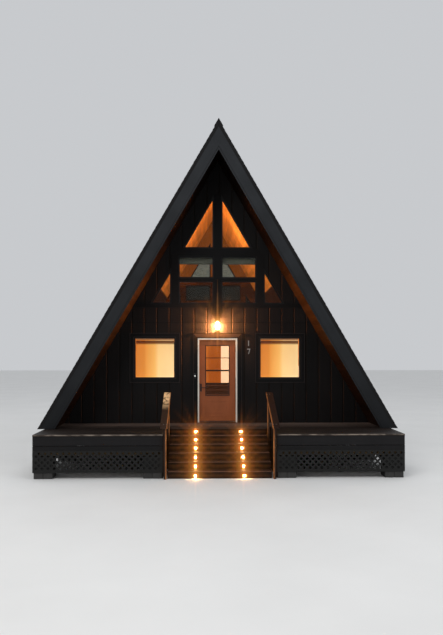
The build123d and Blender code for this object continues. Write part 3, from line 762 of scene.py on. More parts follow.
def make_finishes(colours):
    """Every finish, by name."""
    lining, skirt, trim, shingle = colours.lining, colours.skirt, colours.trim, colours.shingle
    boards = wood("lining_stain", lining, "X", 0.3, (0.4, 0.6), 0.3, on_slope=True)
    siding = scaled_colour(over(colours.siding, lining), 0.5)
    lamp_glass = glass("lamp_glass", (1.0, 0.96, 0.9))
    FINISHES.update({
        "siding": siding_finish("siding_stain", colours.siding),
        "trim": wood("trim_stain", trim, "X", 0.25, (0.5, 0.7), 0.35),
        "barge": barge_finish("barge_paint", colours.barge),
        "skirt": wood("skirt_paint", skirt, "X", 0.25, (0.5, 0.75), 0.4),
        "side_skirt": skirt_finish("side_skirt_paint", skirt),
        "rafter": wood("rafter_paint", skirt, "Y", 0.25, (0.5, 0.75), 0.4),
        "lattice": painted("lattice_paint", colours.lattice, (0.5, 0.7), 0.2),
        # The lining and the inner walls carry painted lamp light inside the rooms and painted shade outside
        # them.
        "lining": painted_room_glow(dim_band(boards, 2.7, 3.62, (0.045, 0.034, 0.026)), 0.6, (1.0, 0.75, 0.35),
                           over(colours.shaded_soffit, lining)),
        "inner_wall": painted_room_glow(inner_wall_finish("inner_boards", lining), 0.65, (1.0, 0.88, 0.66), siding),
        "floor": floor_finish("floor_boards", scaled_colour(lining, 0.8), skirt, colours.deck),
        "shingle": shingle_finish("shingle_granules", shingle),
        "felt": shingle_finish("roof_edge_felt", scaled_colour(shingle, 0.35)),
        "ridge": ridge_finish("ridge_felt", scaled_colour(shingle, 0.8), 0.143),
        "deck": deck_finish("deck_weathered", colours.deck),
        "stair": stair_finish("stair_stain", colours.stair),
        "rail": rail_finish("rail_stain", colours.rail),
        "post": painted_lit_edge(wood("post_stain", colours.rail, "Z", 0.35, (0.45, 0.7), 0.4), "rail_posts", 0.014),
        "timber": wood("structure_timber", colours.timber, "Y", 0.3, (0.7, 0.9), 0.5),
        "block": block_finish("block_concrete", colours.block),
        "mortar": block_finish("block_mortar", scaled_colour(colours.block, 0.6)),
        "door": painted("door_paint", colours.door, (0.35, 0.5), 0.15),
        "jamb": jamb_finish("jamb_paint", colours.jamb),
        "frame": painted("window_frame_paint", scaled_colour(trim, 0.7), (0.3, 0.45), 0.1),
        "muntin": painted("dark_bars", shade(44, 30, 24), (0.4, 0.55)),
        "white": painted("bell_button", (0.8, 0.8, 0.78), (0.25, 0.35)),
        "sash_top_box": painted("sash_top_box_paint", shade(84, 84, 70), (0.4, 0.55), 0.1, "X"),
        # Painted light: the crown's brown stands for lantern light on the dark casing's top.
        "crown": painted("crown_painted_light", shade(92, 58, 38), (0.4, 0.55), along="X"),
        # Painted highlight: the beads are lighter and warmer than the casings.
        "bead": painted("bead_painted_highlight", shade(34, 25, 22), (0.4, 0.55)),
        "bronze": metal("dark_bronze", shade(96, 66, 44), 0.7, (0.35, 0.5), "Z"),
        "black": metal("black_metal", (0.012, 0.012, 0.013), 0.6, (0.3, 0.5)),
        "steel": metal("brushed_metal", (0.30, 0.28, 0.26), 1.0, (0.35, 0.55), "X", 0.2),
        "sill": metal("sill_metal", shade(74, 48, 34), 0.3, (0.45, 0.6), "X", 0.2),
        "rubber": metal("rubber_seal", (0.015, 0.014, 0.014), 0.0, (0.6, 0.8)),
        "glass": glass("window_glass"),
        # Painted shade of the dusk beyond the back windows.
        "back_glass": back_glass_finish("dusk_shade_glass"),
        "lamp_glass": lamp_glass.set(Emission_Color=(1.0, 0.66, 0.32, 1.0), Emission_Strength=9.0),
        # The roller shades glow with painted room light.
        "shade": shade_finish("window_shade"),
        # Painted glow: the roller tubes and bars are no lamps.
        "roller": glowing("roller_tube_painted_glow", shade(150, 100, 62), 0.6, shade(90, 62, 42)),
        "bulb": glowing("lamp_bulb", (1.0, 0.74, 0.42), 40.0),
        "step_light": glowing("step_light_lens", (1.0, 0.66, 0.28), 40.0),
    })


def wear(finish, *nodes):
    """Give CAD nodes a finish."""
    for node in nodes:
        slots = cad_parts[node].data.materials
        slots.clear()
        slots.append(FINISHES[finish].material)


def plain_nodes():
    """Finishes of the nodes that keep their own shape."""
    wear("trim", "front_trim", "back_trim")
    wear("floor", "floor")
    wear("lining", "loft_floor")
    wear("rafter", "roof_left", "roof_right")
    wear("timber", "girders", "porch_joists")
    wear("side_skirt", "side_skirt_boards", "stair_side_panels")
    wear("lattice", "front_lattices", "porch_end_lattices", "house_lattice_left", "house_lattice_right",
         "back_lattice")
    wear("stair", "stair_stringers", "stair_risers")
    wear("barge", "front_barge_board_left", "front_barge_board_right", "back_barge_board_left",
         "back_barge_board_right")
    wear("inner_wall", *FRONT_PANELS, *BACK_PANELS)


# Pieces

def wall_boards(name, nodes, face_y, outward, sizes):
    """Boards with grooves over the outer face of wall panels, cut round their openings."""
    bm = edit_data(*(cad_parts[node].data for node in nodes))
    bmesh.ops.remove_doubles(bm, verts=bm.verts[:], dist=1e-4)
    bm.normal_update()
    other = [f for f in bm.faces
             if f.normal.y * outward < 0.99 or abs(f.calc_center_median().y - face_y) > 1e-3]
    bmesh.ops.delete(bm, geom=other, context="FACES")
    pitch, phase, half_groove = sizes.siding_pitch, sizes.siding_phase, sizes.siding_groove / 2
    seam = DECK + sizes.sheet_seam

    def from_groove(x):
        return abs((x - phase + pitch / 2) % pitch - pitch / 2)

    reach = int(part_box(nodes[0])[1].x / pitch) + 14
    cuts = [((phase + k * pitch + d, 0, 0), (1, 0, 0)) for k in range(-reach, reach + 1)
            for d in (-half_groove, half_groove)]
    cuts += [((0, 0, seam + d), (0, 0, 1)) for d in (-half_groove, half_groove)]
    for point, normal in cuts:
        bmesh.ops.bisect_plane(bm, geom=bm.verts[:] + bm.edges[:] + bm.faces[:], plane_co=point,
                               plane_no=normal, dist=1e-6)
    middles = [(face, face.calc_center_median()) for face in bm.faces]
    gone = [face for face, c in middles if from_groove(c.x) < half_groove or abs(c.z - seam) < half_groove]
    bmesh.ops.delete(bm, geom=gone, context="FACES")
    bmesh.ops.dissolve_limit(bm, angle_limit=0.01, verts=bm.verts[:], edges=bm.edges[:])
    layer = tint_layer(bm)
    tints = np.random.RandomState(5).rand(200)
    middle, upper = 60, 137
    for vert in bm.verts:
        vert[layer] = tints[int((vert.co.x - phase) // pitch) + (upper if vert.co.z > seam else middle)]
    out = bmesh.ops.extrude_face_region(bm, geom=bm.faces[:], use_keep_orig=True)
    moved = [v for v in out["geom"] if isinstance(v, bmesh.types.BMVert)]
    bmesh.ops.translate(bm, verts=moved, vec=(0, outward * sizes.siding_depth, 0))
    bmesh.ops.recalc_face_normals(bm, faces=bm.faces[:])
    bevel_grooves(bm, face_y + outward * sizes.siding_depth, sizes.siding_bevel,
                  lambda x: abs(from_groove(x) - half_groove) < 1e-3)
    return add_piece(name, bm, "siding")


def bevel_grooves(bm, face_y, width, beside_groove):
    """Bevel the upright edges beside the grooves, but for those with a corner too near to leave room."""
    on_face = {v for v in bm.verts if abs(v.co.y - face_y) < 1e-4}
    room = 2.5 * width
    outline = [e for e in bm.edges if on_face.issuperset(e.verts)]
    short = {v for e in outline if e.calc_length() < room for v in e.verts}
    edges = []
    for edge in outline:
        a, b = edge.verts
        if (not edge.is_manifold or a in short or b in short or abs(a.co.x - b.co.x) > 1e-5
                or not beside_groove(a.co.x)):
            continue
        low, high = sorted((a.co.z, b.co.z))
        others = {v for f in edge.link_faces for v in f.verts if v in on_face} - {a, b}
        if not any(abs(v.co.x - a.co.x) < room and low < v.co.z < high for v in others):
            edges.append(edge)
    bmesh.ops.bevel(bm, geom=edges, offset=width, segments=1, profile=0.5, affect="EDGES", clamp_overlap=True)


def slope_matrix(apex):
    """Places on the right slope what is drawn along the building, up the slope and square to it."""
    up = Vector((-math.cos(PITCH), 0, math.sin(PITCH)))
    square = Vector((math.sin(PITCH), 0, math.cos(PITCH)))
    turn = Matrix((Vector((0, 1, 0)), up, square)).transposed().to_4x4()
    return Matrix.Translation((apex / SLOPE, 0, DECK)) @ turn


def roofing(sizes):
    """Slab and shingle tabs of both slopes, standing for the plain roofing."""
    rise = RIDGE / math.sin(PITCH)
    long = ROOF_BACK - ROOF_FRONT
    rows, columns = round(rise / sizes.shingle_course), round(long / sizes.shingle_width)
    course, tab = rise / rows, long / columns
    butt, lap, gap, ridge_gap = sizes.shingle_butt, 0.024, 0.007, 0.03
    tabs = blocks_in_rows("shingle", 11, rows=rows, columns=columns + 1, taper=0.8,
                          start=(ROOF_FRONT + tab / 2, course / 2 + lap / 2, -butt / 2),
                          row_step=(0, course, 0), column_step=(tab, 0, 0), stagger=(-tab / 2, 0, 0),
                          size=(tab - gap, course + lap, butt), unevenness=(0.002, 0.002, 0.0006),
                          low=(ROOF_FRONT, 0.0, -0.05), high=(ROOF_BACK, rise - ridge_gap, 0.0))
    drop_flattened(tabs).transform(slope_matrix(RIDGE))
    slab = bmesh.new()
    outer = RIDGE - butt / math.cos(PITCH)
    section = [(0, DECK + ROOF_APEX), (ROOF_APEX / SLOPE, DECK), (outer / SLOPE, DECK), (0, DECK + outer)]
    add_prism(slab, section, ROOF_FRONT, ROOF_BACK)
    for side, hand in SIDES:
        add_piece(f"shingles_{hand}", on_side(tabs, side), "shingle")
        add_piece(f"roof_felt_{hand}", on_side(slab, side), "felt",
                  replaces=(f"roofing_{hand}",))
    wear("ridge", "ridge_cap")


def lining(sizes):
    """Grooved boards under the roof, standing for the plain lining."""
    run = LINING_APEX / math.sin(PITCH)
    rows = round(run / sizes.lining_board)
    board = run / rows
    thickness = (RAFTER_APEX - LINING_APEX) * math.cos(PITCH)
    lengths, gap, groove = 3, 0.001, 0.004
    plank = (LINING_BACK - LINING_FRONT) / lengths
    boards = blocks_in_rows("lining", 21, rows=rows, columns=lengths + 1,
                            start=(LINING_FRONT + plank / 2, board / 2, thickness / 2),
                            row_step=(0, board, 0), column_step=(plank, 0, 0), stagger=(-plank / 2, 0, 0),
                            size=(plank - gap, board - gap, thickness),
                            low=(LINING_FRONT, 0, 0), high=(LINING_BACK, run, thickness))
    round_edges(drop_flattened(boards), groove).transform(slope_matrix(LINING_APEX))
    for side, hand in SIDES:
        add_piece(f"lining_boards_{hand}", on_side(boards, side), "lining",
                  replaces=(f"lining_{hand}",))


def deck_rows(node, x0, x1, seed, uneven, sizes):
    """Boards side by side over a node's depth, between these ends."""
    low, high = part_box(node)
    thickness = high.z - low.z
    rows = round((high.y - low.y) / sizes.deck_board)
    pitch = (high.y - low.y) / rows
    boards = blocks_in_rows("deck", seed, rows=rows, columns=1,
                            start=((x0 + x1) / 2, low.y + pitch / 2, low.z + thickness / 2),
                            row_step=(0, pitch, 0), size=(x1 - x0, pitch - sizes.board_gap, thickness),
                            unevenness=(0, 0, uneven), low=(-FAR, low.y, 0), high=(FAR, high.y, DECK))
    return round_edges(boards, sizes.edge_round)


def porch_boards(sizes):
    """Deck boards, landing boards and tread boards."""
    deck = deck_rows("porch_deck", HALF_RECESS, HALF_PLATFORM, 31, 0.0012, sizes)
    left = bpy.data.meshes.new("deck_boards_left")
    deck_rows("porch_deck", -HALF_PLATFORM, -HALF_RECESS, 32, 0.0012, sizes).to_mesh(left)
    deck.from_mesh(left)
    add_piece("deck_boards", deck, "deck", replaces=("porch_deck",))
    landing = deck_rows("landing", -HALF_RECESS, HALF_RECESS, 33, 0.001, sizes)
    add_piece("landing_boards", landing, "deck", replaces=("landing",))
    low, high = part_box("stair_treads")
    count = RISERS - 1
    drop = DECK / RISERS
    going = (high.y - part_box("stair_risers")[0].y) / count
    deep = high.y - low.y - (count - 1) * going
    thickness = high.z - low.z - (count - 1) * drop
    treads = blocks_in_rows("stair", 34, rows=count, columns=2,
                            start=(0, high.y - deep * 0.75, high.z - thickness / 2),
                            row_step=(0, -going, -drop), column_step=(0, deep / 2, 0),
                            size=(high.x - low.x, deep / 2 - sizes.board_gap / 2, thickness))
    add_piece("tread_boards", round_edges(treads, sizes.edge_round * 1.5), "stair",
              replaces=("stair_treads",))


def platform(sizes):
    """Skirt of two planks at the platform's ends."""
    low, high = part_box("end_skirt_boards")
    thickness, inset, half_joint = 0.038, 0.004, 0.004
    bottom, top = low.z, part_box("porch_deck")[0].z
    split = bottom + (top - bottom) / 3
    bm = bmesh.new()
    for side in (-1, 1):
        x0, x1 = span(side, HALF_RECESS, HALF_PLATFORM)
        add_box(bm, (x0, low.y, bottom), (x1, low.y + thickness, split - half_joint), 0.3)
        add_box(bm, (x0, low.y + inset, split + half_joint), (x1, low.y + thickness, top), 0.7)
    x0, x1 = -HALF_PLATFORM, HALF_PLATFORM
    add_box(bm, (x0, high.y - thickness, bottom), (x1, high.y, split - half_joint), 0.5)
    add_box(bm, (x0, high.y - thickness, split + half_joint), (x1, high.y - inset, high.z), 0.8)
    add_piece("skirt_planks", round_edges(bm, sizes.edge_round), "skirt",
              replaces=("end_skirt_boards",))


def piers():
    """Piers of stacked blocks with mortar between them."""
    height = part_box("piers")[1].z
    half, joint, recess = 0.195, 0.01, 0.008
    edges = [sorted({round(p[axis], 3) for p in points_of("piers")}) for axis in (0, 1)]
    middles = [[(a + b) / 2 for a, b in zip(row[::2], row[1::2])] for row in edges]
    rng = np.random.RandomState(3)
    blocks, mortar = bmesh.new(), bmesh.new()
    core = half - recess
    for x in middles[0]:
        for y in middles[1]:
            add_box(mortar, (x - core, y - core, 0), (x + core, y + core, height - 0.002))
            for a, b in (span(part, joint / 2, half) for part in (-1, 1)):
                add_box(blocks, (x + a, y - half, 0), (x + b, y + half, height / 2 - joint), rng.rand())
            for a, b in (span(part, joint / 2, half) for part in (-1, 1)):
                add_box(blocks, (x - half, y + a, height / 2), (x + half, y + b, height), rng.rand())
    add_piece("pier_blocks", round_edges(blocks, 0.004), "block", replaces=("piers",))
    add_piece("pier_mortar", mortar, "mortar")


def casing_beads():
    """Raised beads along the edges of the casings, and the crown over the door, both coloured lighter than
    the casings as painted highlights.
    """
    bm = bmesh.new()
    right, bottom, top = extents("front_trim", 0.3, 0.7, -0.1, 2.19)[1:]
    ring(bm, -right, right, bottom, top, 0.012, WALL - 0.030, CASING_FACE)
    left, right, bottom, top = extents("front_trim", 0.8, 2.3, 0.5, 2.5)
    casing = 0.09
    for side in (-1, 1):
        a, b = span(side, left, right)
        ring(bm, a, b, bottom, top, 0.012, WALL - 0.030, CASING_FACE)
        ring(bm, a + casing, b - casing, bottom + casing, top - casing, 0.010, WALL - 0.027, CASING_FACE)
    add_piece("casing_beads", bm, "bead")
    bm = bmesh.new()
    low, high = (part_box("door_frame")[1].z + lift for lift in (0.022, 0.095))
    foot, head = 0.515, 0.59
    add_prism(bm, [(-foot, low), (foot, low), (head, high), (-head, high)], WALL - 0.043, CASING_FACE)
    add_piece("door_crown", round_edges(bm, 0.004), "crown")


def window_shades():
    """Roller shades inside the square windows of the front, whose finish paints the light of the room behind
    them.
    """
    left, right, low, high = window_span()
    y = WALL + 0.122
    edge, drop, cells = 0.045, high - low - 0.06, 24
    for side, hand in SIDES:
        x0, x1 = span(side, left + edge, right - edge)
        bm = bmesh.new()
        bmesh.ops.create_grid(bm, x_segments=cells, y_segments=cells, size=0.5)
        for vert in bm.verts:
            across, up = vert.co.x + 0.5, vert.co.y + 0.5
            vert.co = (x0 + (x1 - x0) * across, y + 0.0015 * math.sin(across * 9) * (1 - up),
                       low + 0.012 + drop * up)
        bmesh.ops.solidify(bm, geom=bm.faces[:], thickness=0.0012)
        bmesh.ops.recalc_face_normals(bm, faces=bm.faces[:])
        shade_piece = add_piece(f"window_shade_{hand}", bm, "shade")
        # The roller tube and the bar at the shade's foot carry a painted glow.
        bm = bmesh.new()
        add_lathe(bm, [(0, 0), (0.019, 0), (0.019, x1 - x0), (0, x1 - x0)], (x0, y, high - 0.048), "X", 16)
        add_box(bm, (x0, y - 0.005, low + 0.004), (x1, y + 0.005, low + 0.018))
        add_piece(f"shade_roller_{hand}", bm, "roller")


def blind_boxes():
    """Grey boxes behind the tops of the gable sashes."""
    left, right, _, high = extents("front_gable", 0.05, 1.02, 3.52, 4.2, True)
    gap = 0.01
    bm = bmesh.new()
    for side in (-1, 1):
        x0, x1 = span(side, left + gap, right - gap)
        add_box(bm, (x0, WALL + 0.110, high - 0.19), (x1, WALL + 0.146, high - 0.006))
    add_piece("blind_boxes", round_edges(bm, 0.006, 2), "sash_top_box")


def window_details():
    """Casing beads, shades and grey boxes at the sash tops, and the finishes of the frames and glass."""
    casing_beads()
    wear("frame", "front_window_frames", "back_window_frames")
    wear("glass", "front_window_glass")
    wear("back_glass", "back_window_glass")
    window_shades()
    blind_boxes()


def door_details():
    """Bars, beads, mouldings, seal and sweep of the door."""
    low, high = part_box("door_glass")
    leaf_low, leaf_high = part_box("door_leaf")
    x0, x1 = leaf_low.x + 0.16, leaf_high.x - 0.16
    z0, z1 = leaf_low.z + 0.14, low.z - 0.13
    margin, bar_depth = 0.06, 0.0095
    around = (low.x, high.x, low.z, high.z)
    mouldings, bars, seals = bmesh.new(), bmesh.new(), bmesh.new()
    for face, out in ((leaf_low.y, -1), (leaf_high.y, 1)):

        def depths(inward, outward):
            return [face + y for y in span(out, inward, outward)]

        ring(mouldings, *around, -0.022, *depths(0, 0.006))
        ring(mouldings, x0, x1, z0, z1, -0.018, *depths(0, 0.006))
        y0, y1 = depths(0, 0.004)
        add_box(mouldings, (x0 + margin, y0, z0 + margin), (x1 - margin, y1, z1 - margin))
        y0, y1 = depths(-bar_depth, 0.002)
        for i, half in ((1, 0.009), (2, 0.019), (3, 0.011)):
            z = high.z - (high.z - low.z) * i / 4
            add_box(bars, (low.x, y0, z - half), (high.x, y1, z + half))
        ring(bars, *around, 0.016, *depths(-bar_depth, -0.001))
        ring(seals, *around, 0.02, *depths(-0.010, -0.003))
    add_box(seals, (leaf_low.x + 0.004, leaf_low.y - 0.006, leaf_low.z),
            (leaf_high.x - 0.004, leaf_low.y, leaf_low.z + 0.012))
    add_piece("door_mouldings", round_edges(mouldings, 0.002), "door", DOOR)
    add_piece("door_bars", round_edges(bars, 0.002), "muntin", DOOR)
    add_piece("door_seals", seals, "rubber", DOOR)
    for node, finish in (("door_leaf", "door"), ("door_glass", "glass"), ("door_handle", "black"),
                         ("door_frame", "jamb"), ("door_threshold", "sill"), ("door_hinges", "steel")):
        wear(finish, node)


def lantern():
    """Lantern over the door, with its bracket, conduit, glass and bulb."""
    y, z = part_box("lantern")[0].y + 0.07, LANTERN_FOOT
    centre = (0, y, z)
    bar, guard = 0.003, 0.052
    bm = bmesh.new()
    add_lathe(bm, [(0, 0.300), (0.02, 0.300), (0.03, 0.285), (0.045, 0.262), (0.06, 0.235), (0.06, 0.222),
                   (0.05, 0.222), (0, 0.222)], centre)
    add_lathe(bm, [(0, 0.0), (0.03, 0.0), (0.045, 0.012), (0.052, 0.03), (0.052, 0.04), (0, 0.04)], centre)
    for i in range(6):
        cx, cy = guard * math.cos(math.pi * i / 3), y + guard * math.sin(math.pi * i / 3)
        add_box(bm, (cx - bar, cy - bar, z + 0.03), (cx + bar, cy + bar, z + 0.23))
    for level in (0.09, 0.16):
        add_lathe(bm, [(0.051, level), (0.057, level), (0.057, level + 0.006), (0.051, level + 0.006),
                       (0.051, level)], centre)
    add_box(bm, (-0.035, y + 0.04, z + 0.115), (0.035, WALL - 0.022, z + 0.19))
    add_box(bm, (-0.055, WALL - 0.034, z + 0.06), (0.055, WALL - 0.009, z + 0.24))
    add_piece("lantern_body", bm, "black", replaces=("lantern",))
    bm = bmesh.new()
    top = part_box("lantern")[1].z
    add_lathe(bm, [(0, z + 0.19), (0.011, z + 0.19), (0.011, top), (0, top)], (0, WALL - 0.033, 0), sides=12)
    for level in (0.33, 0.62, 0.91):
        add_box(bm, (-0.022, WALL - 0.047, z + level), (0.022, WALL - 0.009, z + level + 0.018))
    add_piece("lantern_conduit", bm, "bronze")
    for name, profile, finish, slot in (
            ("lantern_glass", [(0, 0.04), (0.044, 0.04), (0.048, 0.06), (0.048, 0.19), (0.036, 0.222),
                               (0, 0.222)], "lamp_glass", "window_glass"),
            ("lantern_bulb", [(0, 0.045), (0.024, 0.05), (0.036, 0.08), (0.038, 0.13), (0.03, 0.18),
                              (0.018, 0.208), (0, 0.21)], "bulb", "warm_light")):
        bm = bmesh.new()
        add_lathe(bm, profile, centre)
        add_piece(name, bm, finish)


def fittings():
    """Lantern, bell, rims of the step lights, and the finishes of the step lights and numerals."""
    lantern()
    x, z = -0.553, DECK + 1.152
    bm = bmesh.new()
    add_box(bm, (x - 0.026, WALL - 0.040, z - 0.066), (x + 0.026, WALL - 0.022, z + 0.066))
    add_piece("bell_plate", round_edges(bm, 0.006, 2), "black")
    bm = bmesh.new()
    profile = [(0, 0.0), (0.02, 0.0), (0.02, 0.006), (0.016, 0.009), (0, 0.0095)]
    add_lathe(bm, profile, (x, WALL - 0.038, z), "Y")
    add_piece("bell_button", bm, "white")
    bm = bmesh.new()
    for centre in step_light_places():
        add_lathe(bm, [(0.0195, 0.0), (0.029, 0.0), (0.029, 0.005), (0.025, 0.009), (0.0195, 0.010),
                       (0.0195, 0.0)], centre, "Y", 20)
    add_piece("step_light_rims", bm, "black")
    wear("step_light", "step_lights")
    wear("steel", "house_numerals")


def step_light_places():
    """Middle of each step light on the face of its riser."""
    points = np.array(points_of("step_lights"))
    radius = 0.02
    steps = np.round((points[:, 2] - points[:, 2].min() - radius) / (DECK / RISERS))
    places = []
    for step in sorted(set(steps)):
        for side in (-1, 1):
            part = points[(steps == step) & (points[:, 0] * side > 0)]
            low, high = part.min(0), part.max(0)
            places.append(((low[0] + high[0]) / 2, high[1], (low[2] + high[2]) / 2))
    return places


def handrails():
    """Finish and screws of the handrails."""
    low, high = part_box("handrails")
    points = [p for p in points_of("handrails") if p.x > 0]
    foot, head = (max((p for p in points if abs(p.y - y) < 1e-3), key=lambda p: p.z) for y in (low.y, high.y))
    along = Vector((0, head.y - foot.y, head.z - foot.z)).normalized()
    turn = Vector((0, 0, 1)).rotation_difference(Vector((0, -along.z, along.y))).to_matrix().to_4x4()
    post_low, post_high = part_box("rail_posts")
    half_post = 0.044
    bm = bmesh.new()
    for y in (post_low.y + half_post, post_high.y - half_post):
        z = foot.z + (y - foot.y) * along.z / along.y
        for x in (-1.18, -1.12, 1.12, 1.18):
            start = len(bm.verts)
            add_lathe(bm, [(0, -0.002), (0.009, -0.002), (0.009, 0.002), (0.006, 0.0035), (0, 0.004)],
                      (0, 0, 0), sides=12)
            bm.verts.ensure_lookup_table()
            bmesh.ops.transform(bm, matrix=Matrix.Translation((x, y, z)) @ turn, verts=bm.verts[start:])
    add_piece("handrail_screws", bm, "steel")
    wear("rail", "handrails")
    wear("post", "rail_posts")


# Stage

def add_light(name, kind, place, energy, colour):
    """Light object and its data."""
    data = bpy.data.lights.new(name, kind)
    data.energy = energy
    data.color = colour
    lamp = bpy.data.objects.new(name, data)
    lamp.location = place
    lamp.visible_camera = False
    bpy.context.scene.collection.objects.link(lamp)
    return lamp, data


def studio_floor():
    """Pale floor and even sky."""
    reach = 90
    mesh = bpy.data.meshes.new("studio_floor")
    mesh.from_pydata([(-reach, -reach, 0), (reach, -reach, 0), (reach, reach, 0), (-reach, reach, 0)], [],
                     [(0, 1, 2, 3)])
    f = Finish("studio_floor")
    cloud = f.noise(0.5, detail=3.0)
    f.set(Base_Color=f.blend(f.fade(cloud, 0.3, 0.7), (0.78, 0.78, 0.77), (0.82, 0.82, 0.81)),
          Roughness=f.spread(cloud, 0.85, 0.95))
    mesh.materials.append(f.material)
    floor = bpy.data.objects.new("studio_floor", mesh)
    bpy.context.scene.collection.objects.link(floor)
    world = bpy.data.worlds.new("studio")
    world.use_nodes = True
    sky = world.node_tree.nodes["Background"].inputs
    sky[0].default_value = (0.80, 0.82, 0.85, 1)
    sky[1].default_value = 0.72
    bpy.context.scene.world = world


def studio_lights():
    """Soft lights round the cabin, each pointed at an aim."""
    for name, place, aim, size, energy, colour in (
            ("key", (-9, -22, 15), (0, -1, 3), (12, 8), 1500, (1.0, 0.97, 0.93)),
            ("fill", (14, -16, 9), (0, -1, 3), (10, 8), 500, (0.93, 0.96, 1.0)),
            ("sky", (0, 2, 22), (0, 1, 0), (18, 18), 800, (1, 1, 1))):
        lamp, data = add_light(name, "AREA", place, energy, colour)
        data.shape = "RECTANGLE"
        data.size, data.size_y = size
        lamp.rotation_euler = (Vector(aim) - Vector(place)).to_track_quat("-Z", "Y").to_euler()


def cabin_lights(glow):
    """Lamps in the rooms, the lantern and the step lights."""
    level = LANTERN_FOOT + 0.12
    lamps = [("room_lamp", (0.4, 0.8, DECK + 2.2), 200, 0.25, (1.0, 0.8, 0.52)),
             ("loft_lamp", (0.0, 0.6, DECK + 5.0), 52, 0.25, (1.0, 0.66, 0.3)),
             ("lantern_glow", (0, WALL - 0.2, level), 14, 0.04, glow),
             ("lantern_wall_glow", (0, WALL - 0.12, level - 0.02), 1000, 0.03, (1.0, 0.42, 0.16))]
    lamps += [(f"step_glow_{i}", (x, y - 0.035, z), 2.2, 0.012, glow)
              for i, (x, y, z) in enumerate(step_light_places())]
    for name, place, energy, size, colour in lamps:
        lamp, data = add_light(name, "POINT", place, energy, colour)
        data.shadow_soft_size = size
        lamp.visible_transmission = lamp.visible_glossy = False
    linking = bpy.data.objects["lantern_wall_glow"].light_linking
    for role, pieces in (("receiver_collection", ("front_siding", "front_trim")),
                         ("blocker_collection", ("front_trim", "lantern_body"))):
        group = bpy.data.collections.new(f"lantern_{role}")
        for piece in pieces:
            group.objects.link(bpy.data.objects[piece])
        setattr(linking, role, group)


def lens_glow():
    """Soft halo and short rays round the lit lamps, as a lens gives them."""
    scene = bpy.context.scene
    scene.use_nodes = True
    nodes, links = scene.node_tree.nodes, scene.node_tree.links
    nodes.clear()
    last = nodes.new("CompositorNodeRLayers").outputs["Image"]
    for kind, values in (("STREAKS", {"Threshold": 12.0, "Strength": 0.13, "Streaks": 16, "Fade": 0.78,
                                      "Iterations": 2, "Maximum": 40.0, "Tint": (1.0, 0.5, 0.18, 1.0)}),
                         ("BLOOM", {"Threshold": 3.0, "Strength": 1.5, "Size": 0.08, "Maximum": 40.0,
                                    "Tint": (1.0, 0.68, 0.36, 1.0)})):
        node = nodes.new("CompositorNodeGlare")
        node.glare_type = kind
        for key, value in values.items():
            node.inputs[key].default_value = value
        links.new(last, node.inputs["Image"])
        last = node.outputs["Image"]
    links.new(last, nodes.new("CompositorNodeComposite").inputs["Image"])


def set_camera():
    """Camera at the photo's viewing angle; its lens comes from a focal length in pixels."""
    focal, tall, horizon = 684.63, 635, 353.89
    camera = bpy.data.cameras.new("camera")
    camera.sensor_width = 36
    camera.lens = focal / tall * camera.sensor_width
    camera.shift_y = (horizon - tall / 2) / tall
    camera.clip_end = 400
    holder = bpy.data.objects.new("camera", camera)
    holder.location = (-0.3562, WALL - 16.793, DECK + 1.6919)
    holder.rotation_euler = (math.pi / 2, 0, -0.0270)
    bpy.context.scene.collection.objects.link(holder)
    bpy.context.scene.camera = holder


# Operators

class CABIN_OT_finishes(bpy.types.Operator):
    """Make the finishes and give them to the solids that keep their shape"""
    bl_idname = "cabin.finishes"
    bl_label = "Finishes"

    def execute(self, context):
        make_finishes(context.scene.cabin_colours)
        plain_nodes()
        return {"FINISHED"}


class CABIN_OT_siding(bpy.types.Operator):
    """Lay grooved boards over the front and back walls"""
    bl_idname = "cabin.siding"
    bl_label = "Wall boards"

    def execute(self, context):
        sizes = context.scene.cabin_sizes
        wall_boards("front_siding", FRONT_PANELS, WALL, -1, sizes)
        wall_boards("back_siding", BACK_PANELS, WALL_BACK, 1, sizes)
        return {"FINISHED"}


class CABIN_OT_roofing(bpy.types.Operator):
    """Lay shingles on both slopes"""
    bl_idname = "cabin.roofing"
    bl_label = "Shingles"

    def execute(self, context):
        roofing(context.scene.cabin_sizes)
        return {"FINISHED"}


class CABIN_OT_lining(bpy.types.Operator):
    """Lay grooved boards under both slopes"""
    bl_idname = "cabin.lining"
    bl_label = "Lining boards"

    def execute(self, context):
        lining(context.scene.cabin_sizes)
        return {"FINISHED"}


class CABIN_OT_porch(bpy.types.Operator):
    """Lay the boards of the deck, the landing and the treads"""
    bl_idname = "cabin.porch"
    bl_label = "Porch boards"

    def execute(self, context):
        porch_boards(context.scene.cabin_sizes)
        return {"FINISHED"}


class CABIN_OT_platform(bpy.types.Operator):
    """Set the skirt planks and the block piers"""
    bl_idname = "cabin.platform"
    bl_label = "Skirt and piers"

    def execute(self, context):
        platform(context.scene.cabin_sizes)
        piers()
        return {"FINISHED"}


class CABIN_OT_windows(bpy.types.Operator):
    """Add the windows' shades and beads and finish the windows"""
    bl_idname = "cabin.windows"
    bl_label = "Windows"

    def execute(self, context):
        window_details()
        return {"FINISHED"}


class CABIN_OT_door(bpy.types.Operator):
    """Add the door's bars, mouldings and seals"""
    bl_idname = "cabin.door"
    bl_label = "Front door"

    def execute(self, context):
        door_details()
        return {"FINISHED"}


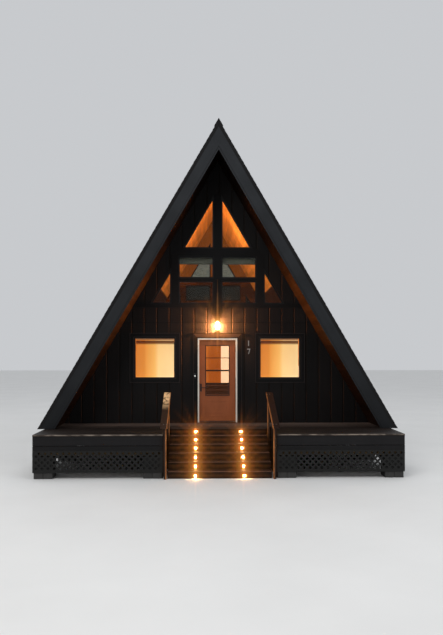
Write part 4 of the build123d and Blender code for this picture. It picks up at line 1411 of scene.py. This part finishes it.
class CABIN_OT_fittings(bpy.types.Operator):
    """Build the lantern, bell and step light rims and finish the numerals"""
    bl_idname = "cabin.fittings"
    bl_label = "Fittings"

    def execute(self, context):
        fittings()
        return {"FINISHED"}


class CABIN_OT_handrails(bpy.types.Operator):
    """Finish the handrails and add their screws"""
    bl_idname = "cabin.handrails"
    bl_label = "Handrails"

    def execute(self, context):
        handrails()
        return {"FINISHED"}


class CABIN_OT_stage(bpy.types.Operator):
    """Set the floor, the lights and the camera"""
    bl_idname = "cabin.stage"
    bl_label = "Stage"

    def execute(self, context):
        studio_floor()
        studio_lights()
        cabin_lights(context.scene.cabin_colours.glow)
        lens_glow()
        context.scene.view_settings.view_transform = "Standard"
        set_camera()
        return {"FINISHED"}


OPERATORS = (CABIN_OT_finishes, CABIN_OT_siding, CABIN_OT_roofing, CABIN_OT_lining, CABIN_OT_porch,
             CABIN_OT_platform, CABIN_OT_windows, CABIN_OT_door, CABIN_OT_fittings, CABIN_OT_handrails,
             CABIN_OT_stage)


class CABIN_PT_panel(bpy.types.Panel):
    """Buttons, sizes and colours of the cabin"""
    bl_idname = "CABIN_PT_panel"
    bl_label = "Cabin"
    bl_space_type = "VIEW_3D"
    bl_region_type = "UI"
    bl_category = "Cabin"

    def draw(self, context):
        for operator in OPERATORS:
            self.layout.operator(operator.bl_idname)
        for group in (context.scene.cabin_sizes, context.scene.cabin_colours):
            for name in group.__annotations__:
                self.layout.prop(group, name)


CLASSES = (CabinSizes, CabinColours, *OPERATORS, CABIN_PT_panel)


def register():
    for cls in CLASSES:
        bpy.utils.register_class(cls)
    bpy.types.Scene.cabin_sizes = bpy.props.PointerProperty(type=CabinSizes)
    bpy.types.Scene.cabin_colours = bpy.props.PointerProperty(type=CabinColours)


def unregister():
    del bpy.types.Scene.cabin_colours
    del bpy.types.Scene.cabin_sizes
    for cls in reversed(CLASSES):
        bpy.utils.unregister_class(cls)


def main():
    register()
    for operator in OPERATORS:
        group, name = operator.bl_idname.split(".")
        getattr(getattr(bpy.ops, group), name)()


if __name__ == "__main__":
    main()
